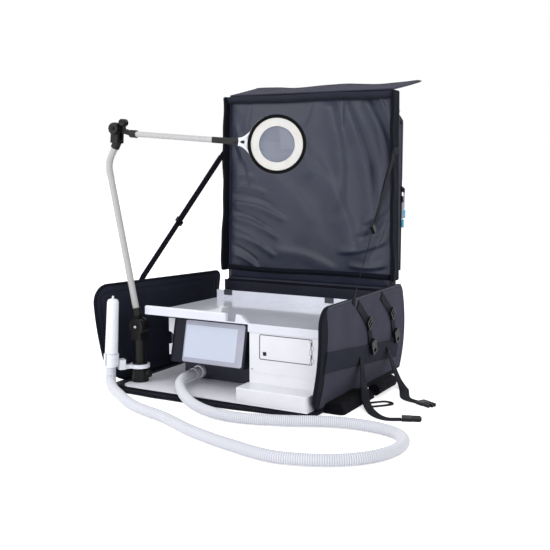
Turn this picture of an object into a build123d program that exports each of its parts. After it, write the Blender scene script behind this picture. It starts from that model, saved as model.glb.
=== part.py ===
from build123d import *

import os
from math import atan2, cos, degrees, hypot, radians, sin, tan

# Backpack podiatry unit: an opened backpack case that holds a white treatment unit.
# The case lies on its back panel. The origin is the centre of the back panel's underside, +X runs
# to the right along the open front, +Y runs back to the lid's hinge, and +Z is up. All sizes are
# in millimetres.

os.makedirs("parts", exist_ok=True)

# Clearances
SEAT = 0.3
PIN_FIT = 0.1

# Bag: the case half
CASE_W = 596.0
CASE_D = 562.0
FLOOR_T = 10.0
FLOOR_CORNER_R = 25.0
FLOOR_CHAMFER = 2.0
WALL_T = 9.0
WALL_FRONT_H = 268.0
WALL_REAR_H = 256.0
LEFT_FLARE = 52.0
RIGHT_FLARE = 20.0
WALL_REAR_LEAN = 2.0
WALL_BULGE = 12.0
WALL_FOOT_R = 95.0
WALL_HEAD_R = 50.0
WALL_BACK_R = 22.0
LEFT_REAR_GAP = 18.0
REAR_WALL_H = 228.0
LIP_REACH = 31.0
LIP_T = 6.0
LIP_X0 = -258.0
LIP_X1 = 270.0

# Bag: the lid half
LID_LEN = 562.0
LID_T = 25.0
LID_HALF_FOOT = 278.0
LID_HALF_HEAD = 270.0
LID_CORNER_R = 10.0
LINING_T = 2.2
LINING_MARGIN = 8.0
LID_SETBACK = 2.0
GUSSET_T = 5.0
GUSSET_FORWARD = 23.0
GUSSET_FOOT = 34.0
FLAP_DEPTH = 133.0
FLAP_T = 6.0
FLAP_RISE = 16.0
FLAP_HALF = 266.0
FLAP_RIGHT_END = 297.0
FLAP_LEFT_END = -248.0
ZIP_TAPE_W = 9.0
ZIP_TAPE_T = 3.0
POCKET_X0 = -215.0
POCKET_X1 = 274.0
POCKET_Z0 = 268.0
POCKET_Z1 = 738.0
POCKET_DEPTH = 58.0
POCKET_CORNER_R = 42.0
POCKET_EDGE_R = 22.0

# Zip sliders and pulls on the pocket's right side
SLIDER_UPPER_Z = 515.0
SLIDER_LOWER_Z = 488.0
SLIDER_W = 10.0
SLIDER_H = 16.0
SLIDER_T = 5.0
PULL_LEN = 62.0
PULL_W = 8.0
PULL_CORD_T = 2.0
UPPER_PULL_SHIFT = 6.0
LOWER_PULL_SHIFT = -4.0
TIP_LEN = 24.0
TIP_W = 8.5
TIP_T = 5.0

# Stays and outside straps
WEB_T = 1.8
STAY_W = 20.0
STAY_LID_Z = 618.0
STAY_LEFT_Y = -83.0
STAY_RIGHT_Y = -70.0
STAY_SLIDER_AT = 0.57
STAY_OFF = 1.6
STAY_RISE = 8.0
STAY_SLIDER_RIM = 4.0
STAY_SLIDER_L = 14.0
STRAP_W = 25.0
STRAP_FRONT_Y = -40.0
STRAP_REAR_Y = 128.0
STRAP_STEPS = ((-22.0, 240.0, 1.5), (38.0, 183.0, 2.6), (62.0, 118.0, 4.7))
TAIL_OFF = 3.9
BAND_W = 50.0
BAND_FRONT_Z = 122.0
BAND_REAR_Z = 76.0
BAND_OFF = 1.4
BAND_Y0 = -190.0
BAND_Y1 = 232.0
LOCK_T = 6.0
LOCK_L = 26.0
TAIL_Z = 1.4
BUCKLE_L = 46.0
BUCKLE_W = 28.0
BUCKLE_T = 8.0

# Hip belt
BELT_X1 = 352.0
BELT_Y0 = -222.0
BELT_Y1 = -36.0
BELT_H = 26.0
ROLL_R = 19.0
ROLL_LEN = 118.0
LOOP_L = 78.0
LOOP_W = 46.0
LOOP_BAND = 12.0
LOOP_T = 2.4
LOOP_Y = -88.0
LOOP_TURN = 50.0

# Machine
BASE_T = 3.0
BASE_X0 = -262.0
BASE_Y1 = 66.0
BASE_SETBACK = 1.0
MACHINE_Y = -218.0
MACHINE_REAR_Y = 60.0
MACHINE_TOP_Z = 195.0
SHEET_T = 3.0
CABINET_X0 = 94.0
CABINET_X1 = 286.0
PLINTH_H = 36.0
PLINTH_X0 = 88.0
PLINTH_CORNER_R = 9.0
PLINTH_SHELL = 2.5
COMPARTMENT_DEPTH = 150.0
COMPARTMENT_RIM = 4.0
CABINET_PANEL_DROP = 1.2
SEAM_Z = 73.0
SEAM_H = 4.0
SEAM_INSET = 11.0
BAG_MARGIN = 6.0
BAG_H = 34.0
DOOR_W = 136.0
DOOR_H = 59.0
DOOR_T = 2.8
DOOR_X0 = 124.0
DOOR_Z0 = 112.0
DOOR_GAP = 1.0
HINGE_PIN_R = 1.2
HINGE_BARREL_R = 2.2
HINGE_BARREL_L = 9.0
HINGE_INSET = 14.0
HINGE_LEAF_W = 8.0
HINGE_LEAF_T = 1.4
LATCH_SIZE = 9.0
LATCH_PROUD = 1.2
LATCH_RIM = 1.2

# Housing and screen
HOUSING_X0 = -170.0
HOUSING_LOW_Y = -116.0
HOUSING_HIGH_Y = -178.0
HOUSING_STEP_Z = 92.0
VENT_ROWS = 6
VENT_PITCH = 11.0
VENT_L = 90.0
VENT_H = 4.5
MOTOR_AT = (-60.0, -20.0)
MOTOR_R = 55.0
MOTOR_H = 80.0
BOARD_XS = (20.0, 80.0)
BOARD_YS = (-60.0, -58.4)
BOARD_H = 90.0
BOARD_CHIP_T = 4.0
SUPPLY_XS = (20.0, 84.0)
SUPPLY_YS = (-30.0, 50.0)
SUPPLY_H = 50.0
SCREEN_X0 = -150.0
SCREEN_X1 = 78.0
SCREEN_FOOT_Y = -222.0
SCREEN_HEAD_Y = -197.0
SCREEN_Z0 = 78.0
SCREEN_Z1 = 190.0
SCREEN_EDGE_R = 14.0
GLASS_W = 179.0
GLASS_H = 108.0
GLASS_T = 4.0
GLASS_R = 6.0
GLASS_RIGHT_MARGIN = 6.0
GLASS_PROUD = 1.2
DISPLAY_W = 154.0
DISPLAY_H = 84.0
DISPLAY_T = 1.0
DISPLAY_LEFT_MARGIN = 4.0
BRACKET_W = 26.0
BRACKET_T = 2.0
BRACKET_NOTCH_R = 17.0
BRACKET_NOTCH_Z = 52.0

# Tray
TRAY_T = 3.0
TRAY_X0 = -228.0
TRAY_REAR_X0 = -207.0
TRAY_REAR_Y = 107.0
TRAY_FRONT_LIP_H = 20.0
TRAY_LIP_T = 11.0
TRAY_LIP_X1 = 27.0
NOTCH_W = 28.0
BUMP_W = 23.0
APRON_X0 = 92.0
APRON_H = 21.0
APRON_T = 4.0
RAIL_H = 24.0
RAIL_T = 4.0
CLIP_W = 26.0
CLIP_H = 14.0
CLIP_T = 9.0
CLIP_XS = (-168.0, 158.0)

# Hose and port
HOSE_R = 13.0
HOSE_GROOVE_R = 12.2
HOSE_BORE_R = 10.5
RIB_COUNT = 58
RIB_GROOVE = 0.6
RIB_SLOPE = 0.16
PORT_X = -120.0
PORT_Z = 32.0
PORT_R = 18.0
PORT_PROUD = 12.0
SPOUT_R = 13.0
SPOUT_L = 14.0
CUFF_R = 14.5
CUFF_L = 24.0

# Lamp base, bracket and handpiece
LAMP_X = -243.0
LAMP_Y = -221.0
LAMP_BASE_R = 22.3
LAMP_BASE_TOP = 50.0
SPIGOT_R = 8.0
SPIGOT_TOP = 100.0
BRACKET_RING_R = 26.0
BRACKET_RING_T = 10.0
BRACKET_ARM_W = 14.0
LUG_SHARE = 0.36
LUG_W = 18.0
LUG_H = 26.0
KNOB_R = 10.0
KNOB_L = 11.0
KNOB_Z = 36.0
KNOB_STUD_R = 3.0
KNOB_STUD_L = 12.0
KNOB_LOBES = 6
HAND_X = -288.0
HAND_Y = -285.0
HAND_FOOT_Z = 70.0
HAND_LEAN = 3.7
CUP_R = 19.5
CUP_BORE_R = 15.0
CUP_H = 32.0
CUP_DROP = 8.0
CUP_SLIT_W = 12.0
CUP_GROOVE = 1.2
SLEEVE_BELOW = 3.0
SLEEVE_R = 14.4
HAND_BODY_L = 146.0
HAND_LOW_R = 16.8
HAND_TOP_R = 15.0
HAND_EDGE = 3.0
COLLET_R = 3.2
COLLET_L = 8.0
SHANK_R = 1.2

# Lamp arms and head
POST_R = 15.5
POST_FLANGE_R = 20.0
POST_FLANGE_T = 4.0
POST_TOP = 130.0
KNUCKLE_Z = 161.0
KNUCKLE_R = 22.0
KNUCKLE_HALF = 16.0
KNUCKLE_GAP = 0.4
TONGUE_HALF = 5.6
TONGUE_STEP = 2.0
NECK_W = 16.0
SOCKET_R = 12.0
SOCKET_L = 20.0
SOCKET_FLOOR = 6.0
TILT_PIN_R = 4.0
PIN_HEAD_R = 8.0
PIN_HEAD_T = 2.4
ARM_R = 8.5
ARM_WALL = 1.5
ARM_FOOT = (-250.0, 195.0)
ARM_BEND = (-335.0, 588.0)
ARM_HEAD = (-305.0, 641.0)
ARM_BEND_R = 55.0
ELBOW_X = -302.0
ELBOW_Z = 678.0
ELBOW_R = 16.0
ELBOW_HALF = 13.0
ELBOW_TONGUE_HALF = 4.6
ELBOW_SOCKET_R = 11.5
ELBOW_NECK_W = 13.0
ELBOW_SWEEP_TURN = -18.0
UPPER_R = 7.2
UPPER_X0 = -252.0
UPPER_X1 = -6.0
UPPER_Z0 = 664.0
UPPER_DROP = 4.3
UPPER_WALL = 1.7
UPPER_SOCKET_R = 10.0
UPPER_SOCKET_L = 18.0
LINK_L = 84.0
LINK_H = 15.0
LINK_T = 12.0
LINK_SPIGOT_R = 4.0
LINK_SPIGOT_L = 18.0
HEAD_TURN = 32.6
HEAD_REACH = 83.0
HEAD_R = 71.0
RIM_W = 8.0
LENS_R = 43.0
SHELL_BACK = 10.0
SHELL_FRONT = 4.0
RIM_T = 5.0
LIGHT_RING_T = 3.0
LENS_EDGE_T = 4.0
LENS_CROWN = 3.0
EYE_R = 7.0
EYE_HALF = 3.5
EAR_HALF = 8.0
NECK_FLARE = 34.0
NECK_END = 12.0
HEAD_PIN_R = 2.2

# Values that follow from the sizes above
HALF_W = CASE_W / 2
HALF_D = CASE_D / 2
HINGE_Y = HALF_D - LID_SETBACK
HINGE_Z = REAR_WALL_H
LID_Z0 = HINGE_Z + SEAT
LID_Z1 = HINGE_Z + LID_LEN
LID_BACK_Y = HINGE_Y + LID_T
BASE_TOP = FLOOR_T + BASE_T
PLINTH_TOP = BASE_TOP + PLINTH_H
TRAY_TOP = MACHINE_TOP_Z + TRAY_T
DOOR_X1 = DOOR_X0 + DOOR_W
DOOR_Z1 = DOOR_Z0 + DOOR_H


def polygon(*points):
    """Fills a closed outline of straight edges in the sketch that is being built."""
    with BuildLine() as outline:
        Polyline(*points, close=True)
    make_face(outline.edges())


def lid_half(z):
    """Half the lid's width at height z, which narrows steadily to the top."""
    share = (z - HINGE_Z) / LID_LEN
    return LID_HALF_FOOT + (LID_HALF_HEAD - LID_HALF_FOOT) * share


def wall_top(y):
    """Height of a side wall's top edge at depth y."""
    return WALL_FRONT_H + (WALL_REAR_H - WALL_FRONT_H) * (y + HALF_D) / CASE_D


def wall_lean(flare, y):
    """How far a side wall's top edge stands outside its foot at depth y."""
    return flare + (WALL_REAR_LEAN - flare) * (y + HALF_D) / CASE_D


# Bag


def side_wall(side, flare, rear_gap):
    """Padded side wall on the floor panel's edge; side is -1 on the left and 1 on the right."""
    with BuildPart() as wall:
        for y in (-HALF_D, HALF_D):
            top = wall_top(y)
            lean = wall_lean(flare, y)
            with BuildSketch(Plane.XZ.offset(-y)):
                with BuildLine():
                    arcs = []
                    for inset in (0, WALL_T):
                        foot = (side * (HALF_W - inset), FLOOR_T)
                        middle = (side * (HALF_W - inset + lean / 2 + WALL_BULGE), top / 2)
                        head = (side * (HALF_W - inset + lean), top)
                        arcs.append(ThreePointArc(foot, middle, head))
                    Line(arcs[0] @ 0, arcs[1] @ 0)
                    Line(arcs[0] @ 1, arcs[1] @ 1)
                make_face()
        loft()
        back = HALF_D - rear_gap
        with BuildSketch(Plane.YZ) as outline:
            polygon(
                (-HALF_D, FLOOR_T),
                (back, FLOOR_T),
                (back, wall_top(back)),
                (-HALF_D, wall_top(-HALF_D)),
            )
            front = outline.vertices().group_by(Axis.X)[0].sort_by(Axis.Y)
            fillet(front[0], WALL_FOOT_R)
            front = outline.vertices().group_by(Axis.X)[0].sort_by(Axis.Y)
            fillet(front[-1], WALL_HEAD_R)
            rear = outline.vertices().group_by(Axis.X)[-1].sort_by(Axis.Y)
            fillet(rear[-1], WALL_BACK_R)
        extrude(amount=CASE_W, both=True, mode=Mode.INTERSECT)
    return wall


with BuildPart() as back_panel:
    with BuildSketch():
        RectangleRounded(CASE_W, CASE_D, FLOOR_CORNER_R)
    extrude(amount=FLOOR_T)
    chamfer(back_panel.faces().sort_by(Axis.Z)[0].edges(), FLOOR_CHAMFER)
back_panel.part.label = "back_panel"
export_step(back_panel.part, "parts/back_panel.step")

side_wall_left = side_wall(-1, LEFT_FLARE, LEFT_REAR_GAP)
side_wall_left.part.label = "side_wall_left"
export_step(side_wall_left.part, "parts/side_wall_left.step")

side_wall_right = side_wall(1, RIGHT_FLARE, 0)
side_wall_right.part.label = "side_wall_right"
export_step(side_wall_right.part, "parts/side_wall_right.step")

with BuildPart() as rear_wall:
    with BuildSketch(Plane.XY.offset(FLOOR_T)):
        with Locations((0, HALF_D - WALL_T / 2)):
            Rectangle(CASE_W - 2 * (WALL_T + SEAT), WALL_T)
    extrude(amount=REAR_WALL_H - FLOOR_T)
rear_wall.part.label = "rear_wall"
export_step(rear_wall.part, "parts/rear_wall.step")

with BuildPart() as front_lip:
    lip_back = -HALF_D - SEAT
    with BuildSketch():
        with BuildLine():
            middle_x = (LIP_X0 + LIP_X1) / 4
            nose = ThreePointArc(
                (LIP_X0, lip_back - LIP_REACH * 0.8),
                (middle_x, lip_back - LIP_REACH),
                (LIP_X1, lip_back - LIP_REACH * 0.2),
            )
            Polyline(nose @ 1, (LIP_X1, lip_back), (LIP_X0, lip_back), nose @ 0)
        make_face()
    extrude(amount=LIP_T)
    chamfer(front_lip.faces().sort_by(Axis.Z)[-1].edges().sort_by(Axis.Y)[0], LIP_T * 0.6)
front_lip.part.label = "front_lip"
export_step(front_lip.part, "parts/front_lip.step")

# Lid

with BuildPart() as lid_panel:
    with BuildSketch(Plane.XZ.offset(-HINGE_Y)) as lid_face:
        polygon(
            (-lid_half(LID_Z0), LID_Z0),
            (lid_half(LID_Z0), LID_Z0),
            (lid_half(LID_Z1), LID_Z1),
            (-lid_half(LID_Z1), LID_Z1),
        )
        fillet(lid_face.vertices().group_by(Axis.Y)[-1], LID_CORNER_R)
    extrude(amount=-LID_T)
lid_panel.part.label = "lid_panel"
export_step(lid_panel.part, "parts/lid_panel.step")

with BuildPart() as lid_lining:
    lining_z0 = LID_Z0 + LINING_MARGIN
    lining_z1 = LID_Z1 - LINING_MARGIN
    with BuildSketch(Plane.XZ.offset(-HINGE_Y + SEAT)):
        polygon(
            (LINING_MARGIN - lid_half(lining_z0), lining_z0),
            (lid_half(lining_z0) - LINING_MARGIN, lining_z0),
            (lid_half(lining_z1) - LINING_MARGIN, lining_z1),
            (LINING_MARGIN - lid_half(lining_z1), lining_z1),
        )
    extrude(amount=LINING_T)
lid_lining.part.label = "lid_lining"
export_step(lid_lining.part, "parts/lid_lining.step")


def lid_gusset(side):
    """Zip gusset along one side of the lid, standing forward of its lining."""
    foot = LID_Z0 + GUSSET_FOOT
    with BuildPart() as gusset:
        with BuildSketch(Plane.XZ.offset(-HINGE_Y + GUSSET_FORWARD)):
            polygon(
                (side * (lid_half(foot) + SEAT), foot),
                (side * (lid_half(foot) + GUSSET_T), foot),
                (side * (lid_half(LID_Z1) + GUSSET_T), LID_Z1),
                (side * (lid_half(LID_Z1) + SEAT), LID_Z1),
            )
        extrude(amount=-GUSSET_FORWARD - LID_T)
    return gusset


with BuildPart() as lid_gussets:
    add(lid_gusset(-1).part)
    add(lid_gusset(1).part)
lid_gussets.part.label = "lid_gussets"
export_step(lid_gussets.part, "parts/lid_gussets.step")

flap_plane = Plane(
    origin=(0, HINGE_Y - SEAT, LID_Z1 + SEAT),
    x_dir=(1, 0, 0),
    z_dir=(0, -sin(radians(FLAP_RISE)), cos(radians(FLAP_RISE))),
)

with BuildPart() as front_flap:
    with BuildSketch(flap_plane):
        polygon((-FLAP_HALF, 0), (FLAP_HALF, 0), (FLAP_RIGHT_END, FLAP_DEPTH), (FLAP_LEFT_END, FLAP_DEPTH))
    extrude(amount=FLAP_T)
    with BuildSketch(flap_plane.offset((FLAP_T - ZIP_TAPE_T) / 2)):
        tape_y0 = FLAP_DEPTH + SEAT
        polygon(
            (FLAP_LEFT_END, tape_y0),
            (FLAP_RIGHT_END, tape_y0),
            (FLAP_RIGHT_END, tape_y0 + ZIP_TAPE_W),
            (FLAP_LEFT_END, tape_y0 + ZIP_TAPE_W),
        )
    extrude(amount=ZIP_TAPE_T)
front_flap.part.label = "front_flap"
export_step(front_flap.part, "parts/front_flap.step")

with BuildPart() as outer_pocket:
    with BuildSketch(Plane.XZ.offset(-LID_BACK_Y - SEAT)):
        with Locations(((POCKET_X0 + POCKET_X1) / 2, (POCKET_Z0 + POCKET_Z1) / 2)):
            RectangleRounded(POCKET_X1 - POCKET_X0, POCKET_Z1 - POCKET_Z0, POCKET_CORNER_R)
    extrude(amount=-POCKET_DEPTH)
    fillet(outer_pocket.faces().sort_by(Axis.Y)[-1].edges(), POCKET_EDGE_R)
outer_pocket.part.label = "outer_pocket"
export_step(outer_pocket.part, "parts/outer_pocket.step")

# Zip sliders: each is a body, a pull cord loop and a tip, on the pocket's right side

SLIDER_Y = LID_BACK_Y + POCKET_DEPTH / 2
SLIDER_X0 = POCKET_X1 + SEAT


def zip_slider(z):
    """Slider body with a waist, astride the zip at height z."""
    with BuildPart() as slider:
        with BuildSketch(Plane.YZ.offset(SLIDER_X0)):
            with Locations((SLIDER_Y, z)):
                Rectangle(SLIDER_W, SLIDER_H)
                with Locations((-SLIDER_W / 2, 0), (SLIDER_W / 2, 0)):
                    Circle(SLIDER_W / 5, mode=Mode.SUBTRACT)
        extrude(amount=SLIDER_T)
    return slider


def pull_cord(z, y_shift):
    """Flat loop of cord that hangs from a slider at height z."""
    with BuildPart() as cord:
        with BuildSketch(Plane.YZ.offset(SLIDER_X0 + SLIDER_T + SEAT)):
            with Locations((SLIDER_Y + y_shift, z - PULL_LEN / 2 + SLIDER_H / 4)):
                SlotOverall(PULL_LEN, PULL_W, rotation=90)
                SlotOverall(PULL_LEN - 2 * PULL_CORD_T, PULL_W - 2 * PULL_CORD_T, 90, mode=Mode.SUBTRACT)
        extrude(amount=PULL_CORD_T)
    return cord


def pull_tip(z, y_shift):
    """Moulded tip that covers the lower end of a pull cord."""
    low = z - PULL_LEN + SLIDER_H / 4
    with BuildPart() as tip:
        with BuildSketch(Plane.YZ.offset(SLIDER_X0 + SLIDER_T + SEAT)):
            with Locations((SLIDER_Y + y_shift, low - SEAT - TIP_LEN / 2)):
                RectangleRounded(TIP_W, TIP_LEN, TIP_W / 2.2)
        extrude(amount=TIP_T)
    return tip


with BuildPart() as zip_slider_upper:
    add(zip_slider(SLIDER_UPPER_Z).part)
    add(pull_cord(SLIDER_UPPER_Z, UPPER_PULL_SHIFT).part)
zip_slider_upper.part.label = "zip_slider_upper"
export_step(zip_slider_upper.part, "parts/zip_slider_upper.step")

with BuildPart() as zip_slider_lower:
    add(zip_slider(SLIDER_LOWER_Z).part)
    add(pull_cord(SLIDER_LOWER_Z, LOWER_PULL_SHIFT).part)
zip_slider_lower.part.label = "zip_slider_lower"
export_step(zip_slider_lower.part, "parts/zip_slider_lower.step")

pull_tip_upper = pull_tip(SLIDER_UPPER_Z, UPPER_PULL_SHIFT)
pull_tip_upper.part.label = "pull_tip_upper"
export_step(pull_tip_upper.part, "parts/pull_tip_upper.step")

pull_tip_lower = pull_tip(SLIDER_LOWER_Z, LOWER_PULL_SHIFT)
pull_tip_lower.part.label = "pull_tip_lower"
export_step(pull_tip_lower.part, "parts/pull_tip_lower.step")


# Outside and stay straps


def wall_face(flare, y, z):
    """Distance of a side wall's outer face from the middle plane, at depth y and height z."""
    share = (z - FLOOR_T) / (wall_top(y) - FLOOR_T)
    return HALF_W + wall_lean(flare, y) * share + 4 * WALL_BULGE * share * (1 - share)


def wall_normal(side, flare, y, z):
    """Outward direction of a side wall's face at depth y and height z."""
    here = wall_face(flare, y, z)
    return (side, here - wall_face(flare, y + 1, z), here - wall_face(flare, y, z + 1))


def webbing(points, outward, width, thickness):
    """Strap through points, with one outward direction for each, square to the strap's face."""
    with BuildPart() as strap:
        for index, point in enumerate(points):
            before = Vector(*points[max(index - 1, 0)])
            after = Vector(*points[min(index + 1, len(points) - 1)])
            run = after - before
            across = run.cross(Vector(*outward[index]))
            with BuildSketch(Plane(origin=point, x_dir=across, z_dir=run)):
                Rectangle(width, thickness)
        loft(ruled=True)
    return strap


def stay(side, flare, wall_y):
    """Stay from the lid's side down to the side wall's top, with its end sewn outside the wall."""
    lid_x = side * (lid_half(STAY_LID_Z) + GUSSET_T + SEAT + WEB_T / 2)
    top_z = wall_top(wall_y)
    wall_x = side * (wall_face(flare, wall_y, top_z) + STAY_OFF)
    sewn_x = side * (wall_face(flare, wall_y - STAY_W, top_z - STAY_W) + STAY_OFF)
    points = (
        (lid_x, HINGE_Y + LID_T / 2, STAY_LID_Z + STAY_W / 2),
        (lid_x, HINGE_Y - GUSSET_FORWARD, STAY_LID_Z),
        (wall_x, wall_y, top_z + STAY_RISE),
        (sewn_x, wall_y - STAY_W, top_z - STAY_W),
    )
    at_wall = wall_normal(side, flare, wall_y, top_z - STAY_W)
    return webbing(points, ((side, 0, 0), (side, 0, 0), at_wall, at_wall), STAY_W, WEB_T)


stay_left = stay(-1, LEFT_FLARE, STAY_LEFT_Y)
stay_left.part.label = "stay_left"
export_step(stay_left.part, "parts/stay_left.step")
stay_right = stay(1, RIGHT_FLARE, STAY_RIGHT_Y)
stay_right.part.label = "stay_right"
export_step(stay_right.part, "parts/stay_right.step")


def strap_run(middle_y):
    """Points down the right wall of a compression strap whose middle is at depth middle_y."""
    points = []
    for shift, z, stand_off in STRAP_STEPS:
        y = middle_y + shift
        points.append((wall_face(RIGHT_FLARE, y, z) + stand_off, y, z))
    return points


with BuildPart() as compression_straps:
    for middle_y in (STRAP_FRONT_Y, STRAP_REAR_Y):
        run = strap_run(middle_y)
        faces = [wall_normal(1, RIGHT_FLARE, y, z) for x, y, z in run]
        add(webbing(run, faces, STRAP_W, WEB_T).part)
compression_straps.part.label = "compression_straps"
export_step(compression_straps.part, "parts/compression_straps.step")

band_points = []
for share in (0.0, 0.25, 0.5, 0.75, 1.0):
    band_y = BAND_Y0 + (BAND_Y1 - BAND_Y0) * share
    band_z = BAND_FRONT_Z + (BAND_REAR_Z - BAND_FRONT_Z) * share
    band_points.append((wall_face(RIGHT_FLARE, band_y, band_z) + BAND_OFF, band_y, band_z))
band_faces = [wall_normal(1, RIGHT_FLARE, y, z) for x, y, z in band_points]
side_band = webbing(band_points, band_faces, BAND_W, WEB_T)
side_band.part.label = "side_band"
export_step(side_band.part, "parts/side_band.step")

tail_fronts = (
    (wall_face(RIGHT_FLARE, -38, 97) + TAIL_OFF, -38, 97),
    (334, -66, 54),
    (350, -94, 38),
    (368, -124, 12),
    (405, -170, TAIL_Z),
    (447, -199, TAIL_Z),
    (482, -186, TAIL_Z),
)
tail_front_faces = ((1, 0, 0), (1, 0, 0.4), (1, 0, 0.9), (0.5, 0, 1), (0, 0, 1), (0, 0, 1), (0, 0, 1))
tail_rears = (
    (wall_face(RIGHT_FLARE, 148, 90) + TAIL_OFF, 148, 90),
    (338, 128, 49),
    (360, 110, 20),
    (388, 78, TAIL_Z),
    (425, -4, TAIL_Z),
    (470, -28, TAIL_Z),
)
tail_rear_faces = ((1, 0, 0), (1, 0, 0.4), (1, 0, 1), (0.2, 0, 1), (0, 0, 1), (0, 0, 1))

with BuildPart() as strap_tails:
    add(webbing(tail_fronts, tail_front_faces, STRAP_W, WEB_T).part)
    add(webbing(tail_rears, tail_rear_faces, STRAP_W, WEB_T).part)
    with BuildSketch(Plane.XY):
        loop_half = (LOOP_L - LOOP_W) / 2 * cos(radians(LOOP_TURN)) + LOOP_W / 2
        with Locations(Location((BELT_X1 + SEAT + loop_half, LOOP_Y), LOOP_TURN)):
            SlotOverall(LOOP_L, LOOP_W)
            SlotOverall(LOOP_L - 2 * LOOP_BAND, LOOP_W - 2 * LOOP_BAND, mode=Mode.SUBTRACT)
    extrude(amount=LOOP_T)
strap_tails.part.label = "strap_tails"
export_step(strap_tails.part, "parts/strap_tails.step")


def lock_plane(run, index):
    """Plane on a strap's outer face at one of its points, with its X axis along the strap."""
    along = Vector(*run[min(index + 1, len(run) - 1)]) - Vector(*run[max(index - 1, 0)])
    face = Vector(*wall_normal(1, RIGHT_FLARE, run[index][1], run[index][2]))
    outward = along.cross(face).cross(along).normalized()
    return Plane(origin=Vector(*run[index]) + outward * (WEB_T / 2 + SEAT), x_dir=along, z_dir=outward)


def flat_plane(run):
    """Plane under the end of a strap tail that lies flat, with its X axis along the strap."""
    along = Vector(*run[-1]) - Vector(*run[-2])
    tip = Vector(*run[-1]) + along.normalized() * SEAT
    return Plane(origin=(tip.X, tip.Y, SEAT / 2), x_dir=along, z_dir=(0, 0, 1))


with BuildPart() as strap_buckles:
    for middle_y in (STRAP_FRONT_Y, STRAP_REAR_Y):
        run = strap_run(middle_y)
        with BuildSketch(lock_plane(run, 1)):
            RectangleRounded(LOCK_L, BUCKLE_W, LOCK_T / 2)
            with Locations((-LOCK_L / 5, 0), (LOCK_L / 5, 0)):
                Rectangle(LOCK_T, STRAP_W * 0.8, mode=Mode.SUBTRACT)
        extrude(amount=LOCK_T)
        with BuildSketch(lock_plane(run, len(run) - 1)):
            RectangleRounded(BUCKLE_L * 0.8, BUCKLE_W, BUCKLE_T / 2)
            with Locations((BUCKLE_L * 0.2, 0)):
                Rectangle(BUCKLE_L * 0.2, BUCKLE_W / 2, mode=Mode.SUBTRACT)
        extrude(amount=BUCKLE_T)
    for run in (tail_fronts, tail_rears):
        with BuildSketch(flat_plane(run)):
            with Locations((BUCKLE_L * 0.25, 0)):
                RectangleRounded(BUCKLE_L * 0.5, BUCKLE_W, BUCKLE_T / 3)
            with Locations((BUCKLE_L * 0.7, 0)):
                Rectangle(BUCKLE_L * 0.6, BUCKLE_W * 0.2)
            with Locations((BUCKLE_L * 0.7, BUCKLE_W * 0.37), (BUCKLE_L * 0.7, -BUCKLE_W * 0.37)):
                Rectangle(BUCKLE_L * 0.5, BUCKLE_W * 0.16)
        extrude(amount=BUCKLE_T)
strap_buckles.part.label = "strap_buckles"
export_step(strap_buckles.part, "parts/strap_buckles.step")


def stay_slider(side, flare, wall_y):
    """Slider frame that a stay runs through, part of the way down it."""
    lid_end = Vector(side * (lid_half(STAY_LID_Z) + GUSSET_T + SEAT + WEB_T / 2), HINGE_Y - GUSSET_FORWARD, STAY_LID_Z)
    top_z = wall_top(wall_y)
    wall_end = Vector(side * (wall_face(flare, wall_y, top_z) + STAY_OFF), wall_y, top_z + STAY_RISE)
    run = wall_end - lid_end
    across = run.cross(Vector(side, 0, 0))
    middle = lid_end + run * STAY_SLIDER_AT
    with BuildPart() as frame:
        with BuildSketch(Plane(origin=middle, x_dir=across, z_dir=run)):
            RectangleRounded(STAY_W + STAY_SLIDER_RIM * 2, WEB_T + STAY_SLIDER_RIM * 2, STAY_SLIDER_RIM / 2)
            Rectangle(STAY_W + SEAT * 2, WEB_T + SEAT * 2, mode=Mode.SUBTRACT)
        extrude(amount=STAY_SLIDER_L / 2, both=True)
    return frame


with BuildPart() as stay_sliders:
    add(stay_slider(-1, LEFT_FLARE, STAY_LEFT_Y).part)
    add(stay_slider(1, RIGHT_FLARE, STAY_RIGHT_Y).part)
stay_sliders.part.label = "stay_sliders"
export_step(stay_sliders.part, "parts/stay_sliders.step")

# Hip belt

with BuildPart() as hip_belt:
    wing_x0 = HALF_W + SEAT
    with BuildSketch(Plane.XZ.offset(-BELT_Y1)) as wing_profile:
        polygon(
            (wing_x0, 0),
            (BELT_X1, 0),
            (BELT_X1, BELT_H * 0.45),
            (BELT_X1 - BELT_H * 0.6, BELT_H),
            (wing_x0 + BELT_H * 0.7, BELT_H),
            (wing_x0, FLOOR_T - SEAT),
        )
        fillet(wing_profile.vertices().group_by(Axis.Y)[-1], BELT_H * 0.2)
    extrude(amount=BELT_Y1 - BELT_Y0)
    fillet(hip_belt.edges().filter_by(Axis.Z).group_by(Axis.Y)[0].sort_by(Axis.X)[-1], BELT_H * 0.4)
    with BuildSketch(Plane.XZ.offset(-BELT_Y1 - SEAT)):
        with Locations((BELT_X1 - SEAT, ROLL_R)):
            Circle(ROLL_R)
    extrude(amount=-ROLL_LEN)
hip_belt.part.label = "hip_belt"
export_step(hip_belt.part, "parts/hip_belt.step")

# Machine: base, plinth and cabinet

with BuildPart() as base_plate:
    with BuildSketch(Plane.XY.offset(FLOOR_T)) as base_outline:
        polygon(
            (BASE_X0, -HALF_D + BASE_SETBACK),
            (CABINET_X1, -HALF_D + BASE_SETBACK),
            (CABINET_X1, BASE_Y1),
            (BASE_X0, BASE_Y1),
        )
        fillet(base_outline.vertices().group_by(Axis.Y)[0].sort_by(Axis.X)[0], FLOOR_CORNER_R)
    extrude(amount=BASE_T)
base_plate.part.label = "base_plate"
export_step(base_plate.part, "parts/base_plate.step")

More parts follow.
